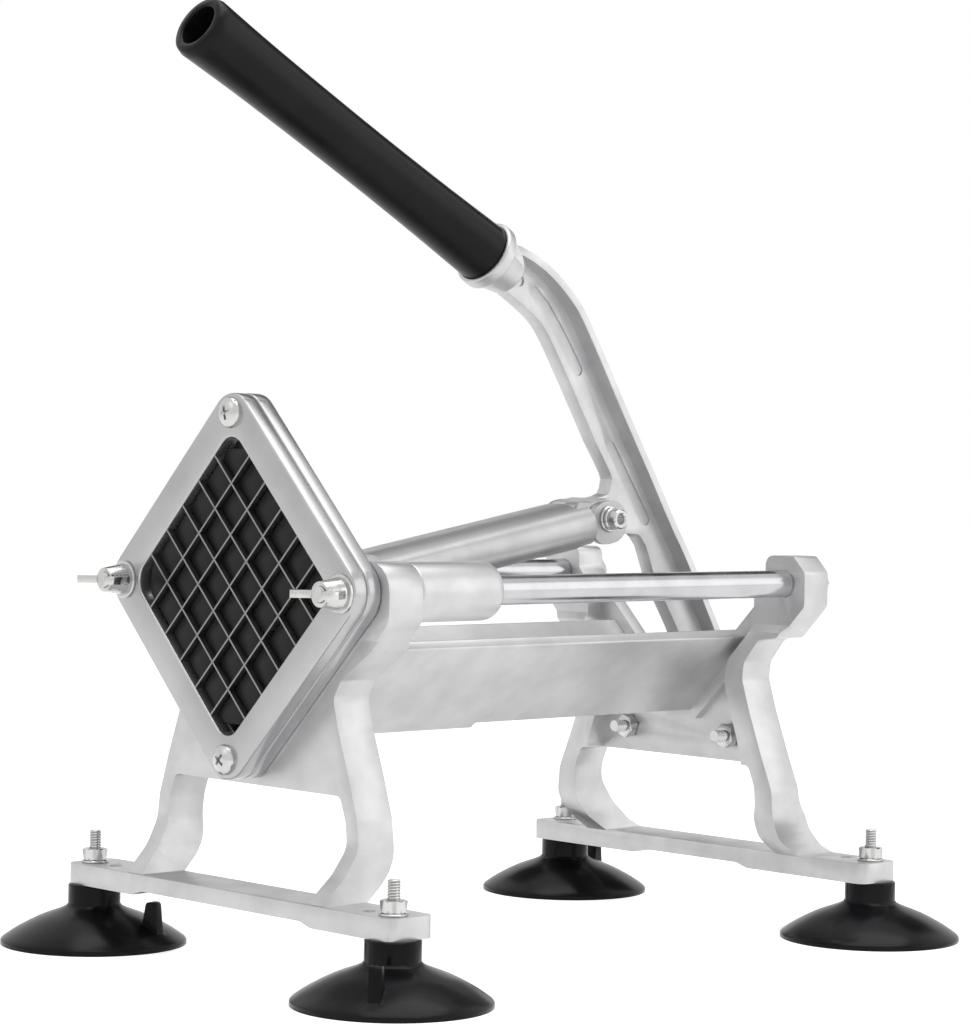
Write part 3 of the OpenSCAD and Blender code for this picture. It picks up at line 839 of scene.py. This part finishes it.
    def _lamp(self, lamp: Lamp) -> None:
        """Hangs a lamp that looks at the cutter's middle.

        Args:
            lamp: The lamp.
        """
        data = bpy.data.lights.new(lamp.name, "AREA")
        data.size = lamp.size
        data.energy = lamp.power
        hung = new_object(lamp.name, data)
        hung.location = lamp.at
        hung.rotation_euler = self._aim(lamp.at).to_track_quat("-Z", "Y").to_euler()


# ---------------------------------------------------------------- fasteners


@dataclass(frozen=True)
class Hardware:
    """Threads, nuts, washers and screw heads of the cutter."""

    finishes: Finishes
    pitch: float = 1.0
    crest: Pair = (0.42, 0.58)
    thread_steps: int = 20
    corner_steps: int = 4
    chamfer: float = 0.96
    chamfer_slope: float = 30.0
    washer_soft: float = 0.25
    head_rim: float = 0.7
    head_rings: tuple[float, ...] = (0.72, 0.88, 0.97, 1.0)
    dome_power: float = 2.2
    recess_reach: float = 0.8
    recess_floor: float = 0.62
    recess_depth: float = 1.3

    def threaded(self, radius: float, length: float, depth: float = 0.45) -> Shape:
        """Shapes a helical thread along Z from zero.

        Args:
            radius: Radius of the crests.
            length: Length of the thread.
            depth: Depth of the grooves.

        Returns:
            The thread, closed at both ends.
        """
        shape = Shape()
        turns = math.ceil(length / self.pitch) + 2
        start, end = self.crest
        profile = [(radius - depth, 0.0), (radius, start * self.pitch), (radius, end * self.pitch),
                   (radius - depth, self.pitch)]
        points = [shape.mesh.verts.new((r, 0.0, z - self.pitch)) for r, z in profile]
        edges = [shape.mesh.edges.new(pair) for pair in zip(points, points[1:])]
        bmesh.ops.spin(shape.mesh, geom=points + edges, cent=(0, 0, 0), axis=(0, 0, 1),
                       dvec=(0, 0, self.pitch / self.thread_steps), angle=FULL_TURN * turns,
                       steps=self.thread_steps * turns, use_merge=False, use_duplicate=False)
        bmesh.ops.remove_doubles(shape.mesh, verts=shape.mesh.verts, dist=WELD)
        for height, up in ((0.0, -1.0), (length, 1.0)):
            cut = bmesh.ops.bisect_plane(shape.mesh, geom=shape.mesh.verts[:] + shape.mesh.edges[:]
                                         + shape.mesh.faces[:], dist=1e-5, plane_co=(0, 0, height),
                                         plane_no=(0, 0, up), clear_outer=True, clear_inner=False)
            rim = [part for part in cut["geom_cut"] if isinstance(part, bmesh.types.BMEdge)]
            bmesh.ops.edgenet_fill(shape.mesh, edges=rim)
        return shape

    def hex_nut(self, flats: float, height: float, bore: float) -> Shape:
        """Shapes a hexagon nut with turned chamfers, along Z from zero.

        Args:
            flats: Width across the flats.
            height: Height of the nut.
            bore: Radius of its bore.

        Returns:
            The nut.
        """
        shape = Shape()
        bmesh.ops.create_circle(shape.mesh, cap_ends=False, segments=6, radius=flats / math.sqrt(3))
        bmesh.ops.subdivide_edges(shape.mesh, edges=shape.mesh.edges[:], cuts=self.corner_steps * 2 - 1)
        inner = flats / 2 * self.chamfer
        outline = list(shape.mesh.edges)
        bmesh.ops.translate(shape.mesh, verts=shape.mesh.verts, vec=(0, 0, height))
        self._drop(shape.mesh.verts, inner, -1.0)
        for radius, level in ((inner, height), (bore, height), (bore, 0.0), (inner, 0.0)):
            outline = self._ring(shape, outline, radius, level)
        rim = corners_of(bmesh.ops.extrude_edge_only(shape.mesh, edges=outline))
        for vert in rim:
            angle = math.atan2(vert.co.y, vert.co.x)
            reach = flats / 2 / math.cos(angle % (math.pi / 3) - math.pi / 6)
            vert.co.xy = Vector((math.cos(angle), math.sin(angle))) * reach
        self._drop(rim, inner, 1.0)
        bmesh.ops.bridge_loops(shape.mesh, edges=[edge for edge in shape.mesh.edges if edge.is_boundary])
        return shape

    def _drop(self, verts: Iterable[bmesh.types.BMVert], inner: float, sign: float) -> None:
        """Moves corners along Z as the chamfer's slope does."""
        for vert in verts:
            vert.co.z += sign * (vert.co.xy.length - inner) * math.tan(math.radians(self.chamfer_slope))

    def _ring(self, shape: Shape, edges: list[bmesh.types.BMEdge], radius: float,
              level: float) -> list[bmesh.types.BMEdge]:
        """Extrudes a loop to a circle of a radius at a height and gives the new loop.

        Args:
            shape: The shape that the loop is on.
            edges: The loop.
            radius: Radius of the circle.
            level: Its height.

        Returns:
            The new loop.
        """
        made = bmesh.ops.extrude_edge_only(shape.mesh, edges=edges)
        for vert in corners_of(made):
            vert.co.xy = vert.co.xy.normalized() * radius
            vert.co.z = level
        return [part for part in made["geom"] if isinstance(part, bmesh.types.BMEdge)
                and all(abs(vert.co.xy.length - radius) < TINY and abs(vert.co.z - level) < TINY
                        for vert in part.verts)]

    def washer(self, radius: float, bore: float, thickness: float) -> Shape:
        """Shapes a flat washer with softened rims, along Z from zero."""
        soft = thickness * self.washer_soft
        return Shape().turn([(bore, 0.0), (radius - soft, 0.0), (radius, soft), (radius, thickness - soft),
                             (radius - soft, thickness), (bore, thickness), (bore, 0.0)], steps=40)

    def pan_head(self, radius: float, height: float, cross: float = 2.7, slot: float = 0.62) -> Shape:
        """Shapes a domed head with a cross recess, along Z from zero.

        Args:
            radius: Radius of the head.
            height: Height of its crown.
            cross: Reach of the recess from the middle.
            slot: Half the width of its wings.

        Returns:
            The head.
        """
        shape = Shape()
        bmesh.ops.create_grid(shape.mesh, x_segments=3, y_segments=3, size=cross)
        for vert in shape.mesh.verts:
            for axis in (0, 1):
                if abs(vert.co[axis]) < cross / 2:
                    vert.co[axis] = math.copysign(slot, vert.co[axis])
        bmesh.ops.subdivide_edges(shape.mesh, edges=[edge for edge in shape.mesh.edges if edge.is_boundary],
                                  cuts=1)
        rim = [edge for edge in shape.mesh.edges if edge.is_boundary]
        for reach in self.head_rings:
            for vert in corners_of(bmesh.ops.extrude_edge_only(shape.mesh, edges=rim)):
                vert.co = vert.co.normalized() * radius * reach
            rim = [edge for edge in shape.mesh.edges if edge.is_boundary]
        crown = height - self.head_rim
        for vert in shape.mesh.verts:
            share = min(1.0, vert.co.xy.length / radius)
            vert.co.z = self.head_rim + crown * math.sqrt(max(0.0, 1.0 - share ** self.dome_power))
        for vert in corners_of(bmesh.ops.extrude_edge_only(shape.mesh, edges=rim)):
            vert.co.z = 0.0
        wings = [face for face in shape.mesh.faces
                 if min(abs(face.calc_center_median().x), abs(face.calc_center_median().y)) < slot / 2
                 and face.calc_center_median().xy.length < cross * self.recess_reach]
        floor = corners_of(bmesh.ops.extrude_face_region(shape.mesh, geom=wings))
        bmesh.ops.delete(shape.mesh, geom=[face for face in wings if face.is_valid], context="FACES_ONLY")
        for vert in floor:
            vert.co.xy *= self.recess_floor
            vert.co.z -= self.recess_depth
        return shape

    def fit(self, shape: Shape, name: str, body: Body, *nodes: str) -> bpy.types.Object:
        """Finishes a piece of hardware in bright zinc."""
        return shape.finish(name, self.finishes.zinc, body, *nodes)


# ---------------------------------------------------------------- sub-assemblies


@dataclass
class Assembly:
    """A sub-assembly of the cutter."""

    finishes: Finishes
    hardware: Hardware

    def build(self) -> None:
        """Builds the sub-assembly's pieces."""
        raise NotImplementedError


@dataclass
class BladeFrame(Assembly):
    """Two clamped plates on one corner, with the blade grid, its screws and wing nuts."""

    side: float = 108.0
    corner: float = 12.0
    opening: float = 82.4
    opening_corner: float = 8.0
    arc_steps: int = 10
    edge: float = 0.9
    screw_reach: float = 64.0
    screw_head: Pair = (5.8, 3.4)
    screw_turns: Pair = (12.0, 52.0)
    nut_fillet: float = 0.55
    washer_radius: float = 7.2
    stud_radius: float = 3.0

    def build(self) -> None:
        """Builds the plates and dresses the grid and the fasteners."""
        for node in ("blade_plate_front", "blade_plate_rear"):
            self._plate(node)
        for grid in ("blades_rising", "blades_falling"):
            keep_node(grid, self.finishes.blade)
        self._screws()
        for node, body in (("wing_nut_left", Body.WING_LEFT), ("wing_nut_right", Body.WING_RIGHT)):
            smooth_copy(node, f"{node}_cast", self.finishes.zinc, body, self.nut_fillet)
        self._washers()

    def _plate(self, node: str) -> None:
        """Makes one square plate with its rounded opening.

        Args:
            node: The CAD node it stands for.
        """
        box = box_of(node)
        shape = Shape().square_loop(self.side, self.corner, self.arc_steps)
        shape.square_loop(self.opening, self.opening_corner, self.arc_steps).bridge()
        shape.raise_faces(list(shape.mesh.faces), box.size.y)
        shape.soften(self.edge, segments=3)
        shape.put((box.middle.x, box.high.y, box.middle.z), Way.FORWARD, spin=45.0)
        shape.finish(node, self.finishes.plate, Body.FRAME, node, sharp=50.0)

    def _screws(self) -> None:
        """Makes the pan-head screws in the top and bottom corners."""
        box = box_of("blade_plate_front")
        for word, side, turn in zip(("top", "bottom"), (1, -1), self.screw_turns):
            shape = self.hardware.pan_head(*self.screw_head)
            shape.put((0.0, box.low.y, box.middle.z + side * self.screw_reach), Way.FORWARD, turn)
            self.hardware.fit(shape, f"frame_screw_{word}", Body.FRAME, "blade_frame_screws")

    def _washers(self) -> None:
        """Makes the flat washer under each wing nut."""
        box = box_of("wing_nut_washers")
        radius = self.washer_radius
        for word, x in box.hands(radius):
            shape = self.hardware.washer(radius, self.stud_radius, box.size.y)
            shape.put((x, box.high.y, box.middle.z), Way.FORWARD)
            self.hardware.fit(shape, f"wing_washer_{word}", Body.FRAME, "wing_nut_washers")


@dataclass
class Guides(Assembly):
    """Two polished rods with threaded front ends and domed nuts at the rear."""

    stub_radius: float = 3.0
    rear_radius: float = 4.0
    rear_reach: float = 14.0
    end_gap: float = 0.5
    chamfer: float = 0.6
    nut_fillet: float = 0.45

    def build(self) -> None:
        """Builds both rods and dresses the nuts behind them."""
        for which in ("left", "right"):
            self._rod(which)
        smooth_copy("rod_end_nuts", "rod_end_domes", self.finishes.zinc, Body.FRAME, self.nut_fillet,
                    segments=2)

    def _rod(self, which: str) -> None:
        """Makes one rod with its threaded stub.

        Args:
            which: Side that it is on.
        """
        node = f"guide_rod_{which}"
        box = box_of(node)
        front = box_of("blade_plate_rear").high.y
        radius, soft, thin = box.size.x / 2, self.chamfer, self.rear_radius
        thick = box_of("rod_end_nuts").low.y - self.rear_reach - front
        whole = box.high.y - front - self.end_gap
        rod = Shape().turn([(0.0, 0.0), (radius - soft, 0.0), (radius, soft), (radius, thick - soft),
                            (radius - soft, thick), (thin, thick), (thin, whole), (0.0, whole)],
                           steps=72)
        rod.put((box.middle.x, front, box.middle.z), Way.BACK)
        rod.finish(node, self.finishes.rod, Body.FRAME, node, sharp=30.0)
        stub = self.hardware.threaded(self.stub_radius, front - box.low.y)
        stub.put((box.middle.x, front, box.middle.z), Way.FORWARD)
        self.hardware.fit(stub, f"guide_stub_{which}", Body.FRAME)


@dataclass
class Castings(Assembly):
    """The front and rear castings, the trough between them and the pivot bracket."""

    fillet: float = 1.0
    trough_fillet: float = 0.8
    bolt_out: float = 1.0
    bolt_head: Profile = ((0.0, 0.0), (4.0, 0.0), (4.4, 0.4), (3.6, 1.9), (1.8, 2.6), (0.0, 2.8))
    nut_flats: float = 9.0
    nut_turn: float = 12.0

    def build(self) -> None:
        """Builds the castings and the bracket's fasteners."""
        for node, name, fillet in (("front_frame", "front_casting", self.fillet),
                                   ("rear_frame", "rear_casting", self.fillet),
                                   ("potato_trough", "trough", self.trough_fillet),
                                   ("pivot_bracket", "lever_bracket", self.fillet)):
            smooth_copy(node, name, self.finishes.casting, Body.FRAME, fillet)
        self._bracket_fasteners()

    def _bracket_fasteners(self) -> None:
        """Makes the bolts and nuts that hold the bracket to the rear casting."""
        bolts, nuts = box_of("bracket_bolts"), box_of("bracket_nuts")
        height, radius = bolts.middle.z, bolts.size.z / 2
        for word, x in bolts.hands(radius):
            bolt = self.hardware.threaded(radius, nuts.high.y - bolts.low.y + self.bolt_out)
            bolt.put((x, nuts.high.y + self.bolt_out, height), Way.FORWARD)
            self.hardware.fit(bolt, f"bracket_bolt_{word}", Body.FRAME, "bracket_bolts")
            head = Shape().turn(self.bolt_head, steps=32).put((x, bolts.high.y, height), Way.BACK)
            self.hardware.fit(head, f"bracket_bolt_head_{word}", Body.FRAME)
            nut = self.hardware.hex_nut(self.nut_flats, nuts.size.y, radius)
            nut.put((x, nuts.high.y, height), Way.FORWARD, self.nut_turn)
            self.hardware.fit(nut, f"bracket_nut_{word}", Body.FRAME, "bracket_nuts")


@dataclass
class Pusher(Assembly):
    """The black toothed block on its cast carriage."""

    fillet: float = 1.3
    tooth_edge: float = 0.35
    turned_edge: float = 0.4

    def build(self) -> None:
        """Builds the carriage, the block, its screws and the link's studs."""
        looks = self.finishes
        smooth_copy("pusher_carriage", "carriage_casting", looks.casting, Body.CARRIAGE, self.fillet)
        smooth_copy("pusher_block", "toothed_block", looks.pusher, Body.CARRIAGE, self.tooth_edge,
                    segments=2)
        for node in ("pusher_screws", "clevis_pins"):
            smooth_copy(node, f"{node}_turned", looks.zinc, Body.CARRIAGE, self.turned_edge, segments=2)


@dataclass
class PushLink(Assembly):
    """The oval link between the lever and the carriage, with its bolt."""

    fillet: float = 1.2
    tall: float = 9.7
    fullness: float = 0.82
    drop: float = 1.2
    nose_inset: float = 1.0
    shoulder: float = 8.5
    slot: float = 14.6
    slot_cut: Pair = (60.0, 80.0)
    wall: float = 5.0
    hollow_ends: Pair = (14.0, 30.0)
    hollow_depths: Pair = (-3.0, 37.0)
    ear_in: float = 11.6
    ear_out: float = 14.7
    ear_half: float = 8.7
    ear_drop: float = 1.5
    ear_stretch: float = 1.5
    bolt_radius: float = 3.0
    head: Pair = (4.0, 4.6)
    head_edge: float = 0.5
    socket: float = 2.1
    socket_edge: float = 0.4
    socket_depth: float = 2.6
    flat_washer: Pair = (5.4, 1.2)
    spring_washer: Pair = (4.5, 1.5)

    def build(self) -> None:
        """Builds the link, its bolt, nut and washers."""
        smooth_copy("push_link", "link_casting", self.finishes.link, Body.LINK, self.fillet,
                    shape=self._body())
        self._bolt()
        box = box_of("link_bolt_nut")
        nut = self.hardware.hex_nut(box.size.y, box.size.x, self.bolt_radius)
        nut.put((box.high.x, box.middle.y, box.middle.z), Way.LEFT)
        self.hardware.fit(nut, "link_bolt_nut_hex", Body.LINK, "link_bolt_nut")

    def _body(self) -> Shape:
        """Shapes the link along Z from its pin, with +Y down, and lays it between its pivots.

        Returns:
            The link.
        """
        pin = box_of("clevis_pins").middle
        along = box_of("link_bolt").middle - pin
        along.x = pin.x = 0.0
        length, wide, tall = along.length, box_of("push_link").size.x / 2, self.tall
        body = Shape().cylinder(wide, length - self.shoulder, steps=80)
        for vert in body.mesh.verts:
            across, down = vert.co.x / wide, vert.co.y / wide
            vert.co.x = wide * math.copysign(abs(across) ** self.fullness, across)
            vert.co.y = tall * math.copysign(abs(down) ** self.fullness, down) + self.drop
        inset = self.nose_inset
        nose = Shape().cylinder(tall, 2 * (wide - inset), steps=48)
        body.combine(nose.put((inset - wide, 0.0, 0.0), Way.RIGHT))
        deep, far = self.slot_cut
        body.combine(self._block((-self.ear_in, -deep / 2, length - self.slot),
                                 (self.ear_in, deep / 2, length - self.slot + far)), cut=True)
        (start, stop), (top, under) = self.hollow_ends, self.hollow_depths
        body.combine(self._block((self.wall - wide, top, start), (wide - self.wall, under, length - stop)), cut=True)
        ear = pill(((self.ear_drop, length - self.ear_stretch), (self.ear_drop, length + self.ear_stretch)),
                   self.ear_half, steps=12)
        for low, high in ((self.ear_in, self.ear_out), (-self.ear_out, -self.ear_in)):
            body.combine(side_slab(ear, low, high))
        return body.put(pin, along)

    def _block(self, low: Sequence[float], high: Sequence[float]) -> Shape:
        """Shapes a block between two opposite corners.

        Args:
            low: Its lowest corner.
            high: Its highest corner.

        Returns:
            The block.
        """
        low, high = Vector(low), Vector(high)
        block = Shape()
        bmesh.ops.create_cube(block.mesh, size=1.0)
        bmesh.ops.scale(block.mesh, vec=high - low, verts=block.mesh.verts)
        bmesh.ops.translate(block.mesh, verts=block.mesh.verts, vec=(low + high) / 2)
        return block

    def _bolt(self) -> None:
        """Makes the socket-head bolt, the flat washers beside the ears and the spring washer."""
        bolt, flats = box_of("link_bolt"), box_of("link_washers")
        y, z, start = bolt.middle.y, bolt.middle.z, flats.high.x
        (wide, thick), (narrow, spring) = self.flat_washer, self.spring_washer
        for word, x, way in (("right", start - thick, Way.RIGHT), ("left", flats.low.x + thick, Way.LEFT)):
            ring = self.hardware.washer(wide, self.bolt_radius, thick).put((x, y, z), way)
            self.hardware.fit(ring, f"link_washer_{word}", Body.LINK, "link_washers")
        ring = self.hardware.washer(narrow, self.bolt_radius, spring).put((start, y, z), Way.RIGHT)
        self.hardware.fit(ring, "link_spring_washer", Body.LINK)
        radius, height = self.head
        height = min(height, bolt.high.x - start - spring)
        edge, floor = self.head_edge, height - self.socket_depth
        head = Shape().turn([(0.0, 0.0), (radius, 0.0), (radius, height - edge), (radius - edge, height),
                             (self.socket + edge, height), (self.socket, height - self.socket_edge),
                             (self.socket, floor), (0.0, floor)], steps=36)
        head.put((start + spring, y, z), Way.RIGHT)
        shank = self.hardware.threaded(self.bolt_radius, start - bolt.low.x).put((start, y, z), Way.LEFT)
        self.hardware.fit(head.join(shank), "link_bolt_socket_head", Body.LINK, "link_bolt")


@dataclass
class Lever(Assembly):
    """The arm with its flange, the handle tube and the vinyl grip; outlines start at the main pivot."""

    fillet: float = 1.0
    grip_fall: float = 27.64
    grip_fillet: float = 0.8
    tube_bore: float = 6.6
    tube_gap: float = 0.05
    bore_start: float = 0.35
    web_half: float = 3.5
    pocket: float = 0.7
    pocket_half: float = 2.4
    pocket_out: float = 5.0
    upper_pocket: Profile = ((-119.9, 178.5), (-113.2, 172.7), (-107.3, 165.6), (-101.0, 157.4), (-94.5, 148.0))
    lower_pocket: Profile = ((-74.9, 116.9), (-54.0, 87.2))
    dimple: Profile = ((-128.5, 183.0), (-128.1, 182.6))
    lobe_half: float = 11.5
    over_lobe: Profile = ((-84.3, 119.6), (-79.8, 113.4), (-74.9, 106.3), (-73.9, 103.9), (-74.6, 100.4),
                          (-76.0, 97.9), (-79.0, 96.8), (-93.0, 94.3), (-96.5, 92.4), (-98.8, 89.0), (-101.0, 89.0),
                          (-101.0, 119.8))
    under_lobe: Profile = ((-98.0, 79.0), (-66.0, 81.8), (-58.2, 81.2), (-56.3, 79.8), (-53.4, 76.3),
                           (-51.3, 71.5), (-49.2, 66.5), (-47.5, 62.4), (-52.0, 52.0), (-98.0, 60.0))
    flange_start: Pair = (-136.3, 190.1)
    flange_taper: Profile = ((7.3, -5.1), (14.2, -5.1), (14.2, 12.3), (12.1, 12.3))
    taper_depth: float = 12.0
    pivot_radius: float = 4.0
    pivot_thread: float = 14.0
    pivot_out: float = 3.0
    pivot_shank: float = 42.0
    pivot_head: float = 5.2
    head_bore: float = 2.0
    head_core: Pair = (3.0, 5.0)

    def build(self) -> None:
        """Builds the arm, the tube, the grip and the main pivot's fasteners."""
        smooth_copy("lever_arm", "lever_casting", self.finishes.casting, Body.LEVER, self.fillet,
                    shape=self._arm())
        self._grip()
        self._pivot()

    def _arm(self) -> Shape:
        """Trims the lobe that carries the link and sinks the pockets of the arm's web.

        Returns:
            The arm.
        """
        shape = copy_of("lever_arm")
        for outline in (self.over_lobe, self.under_lobe):
            shape.combine(side_slab(self._placed(outline), -self.lobe_half, self.lobe_half), cut=True)
        fall = math.radians(self.grip_fall)
        (y, z), = self._placed([self.flange_start])
        for mirrored in (False, True):
            wedge = Shape().slab(self.flange_taper, self.taper_depth)
            wedge.put((0.0, y, z), Vector((0.0, math.sin(fall), math.cos(fall))))
            shape.combine(wedge.mirrored() if mirrored else wedge, cut=True)
        floor, out = self.web_half - self.pocket, self.pocket_out
        for path in (self.upper_pocket, self.lower_pocket, self.dimple):
            outline = self._placed(pill(path, self.pocket_half))
            for low, high in ((-out, -floor), (floor, out)):
                shape.combine(side_slab(outline, low, high), cut=True)
        return shape

    def _placed(self, outline: Profile) -> list[Pair]:
        """Moves an outline in the side view from the main pivot to its place."""
        pivot = box_of("lever_pivot_bolt").middle
        return [(pivot.y + y, pivot.z + z) for y, z in outline]

    def _grip(self) -> None:
        """Makes the grip from its CAD copy and a hollow tube inside it."""
        smooth_copy("handle_grip", "vinyl_grip", self.finishes.vinyl, Body.LEVER, self.grip_fillet,
                    sharp=50.0)
        box = box_of("handle_tube")
        fall = math.radians(self.grip_fall)
        radius, bore = box.size.x / 2, self.tube_bore
        length = (box.size.y - 2 * radius * math.sin(fall)) / math.cos(fall)
        start = Vector((0.0, box.high.y - radius * math.sin(fall), box.low.z + radius * math.cos(fall)))
        inside, skin = length * self.bore_start, radius - self.tube_gap
        tube = Shape().turn([(0.0, inside), (bore, inside), (bore, length), (skin, length), (skin, 0.0),
                             (0.0, 0.0)], steps=48)
        tube.put(start, Vector((0.0, -math.cos(fall), math.sin(fall))))
        tube.finish("handle_pipe", self.finishes.tube, Body.LEVER, "handle_tube")

    def _pivot(self) -> None:
        """Makes the main pivot's hexagon head and nut."""
        nut = box_of("lever_pivot_nut")
        y, z, outer = nut.middle.y, nut.middle.z, nut.high.x
        under_head = box_of("lever_pivot_bolt").high.x - self.pivot_head
        radius = self.pivot_radius
        bolt = self.hardware.threaded(radius, self.pivot_thread).put((outer + self.pivot_out, y, z), Way.LEFT)
        for part, x in ((Shape().cylinder(radius, self.pivot_shank, steps=40), outer),
                        (self.hardware.hex_nut(nut.size.y, self.pivot_head, self.head_bore), under_head),
                        (Shape().cylinder(*self.head_core, steps=24), under_head)):
            bolt.join(part.put((x, y, z), Way.RIGHT))
        self.hardware.fit(bolt, "main_pivot_bolt", Body.FRAME, "lever_pivot_bolt")
        shape = self.hardware.hex_nut(nut.size.y, nut.size.x, radius).put((outer, y, z), Way.LEFT)
        self.hardware.fit(shape, "main_pivot_nut", Body.FRAME, "lever_pivot_nut")


@dataclass
class Feet(Assembly):
    """Four suction cups with their studs, washers and nuts."""

    cup_fillet: float = 0.7
    thread: float = 2.4
    washer_radius: float = 5.25
    nut_flats: float = 8.7
    nut_turn: float = 22.0

    def build(self) -> None:
        """Builds the cups and the fasteners above them."""
        studs = box_of("foot_studs")
        for rank, y in (("front", studs.low.y + self.thread), ("rear", studs.high.y - self.thread)):
            for hand, x in studs.hands(self.thread):
                place = f"{rank}_{hand}"
                smooth_copy(f"suction_cup_{place}", f"cup_{place}", self.finishes.rubber, Body.FRAME, self.cup_fillet)
                self._stud(place, x, y)

    def _stud(self, place: str, x: float, y: float) -> None:
        """Makes one stud with its washer and nut.

        Args:
            place: Name of its place.
            x: Its place across.
            y: Its place lengthwise.
        """
        studs, washers, nuts = (box_of(f"foot_{kind}s") for kind in ("stud", "washer", "nut"))
        stud = self.hardware.threaded(self.thread, studs.size.z).put((x, y, studs.low.z))
        washer = self.hardware.washer(self.washer_radius, self.thread, washers.size.z)
        washer.put((x, y, washers.low.z))
        nut = self.hardware.hex_nut(self.nut_flats, nuts.size.z, self.thread)
        nut.put((x, y, nuts.low.z), spin=self.nut_turn)
        for kind, shape in (("stud", stud), ("washer", washer), ("nut", nut)):
            self.hardware.fit(shape, f"foot_{kind}_{place}", Body.FRAME, f"foot_{kind}s")


def main() -> None:
    """Builds the studio and every sub-assembly in order."""
    logging.basicConfig(level=logging.INFO, format="%(name)s: %(message)s")
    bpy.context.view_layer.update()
    finishes = Finishes()
    hardware = Hardware(finishes)
    Studio().build()
    for part in (Castings, BladeFrame, Guides, Pusher, PushLink, Lever, Feet):
        LOG.info("building %s", part.__name__)
        part(finishes, hardware).build()


if __name__ == "__main__":
    main()
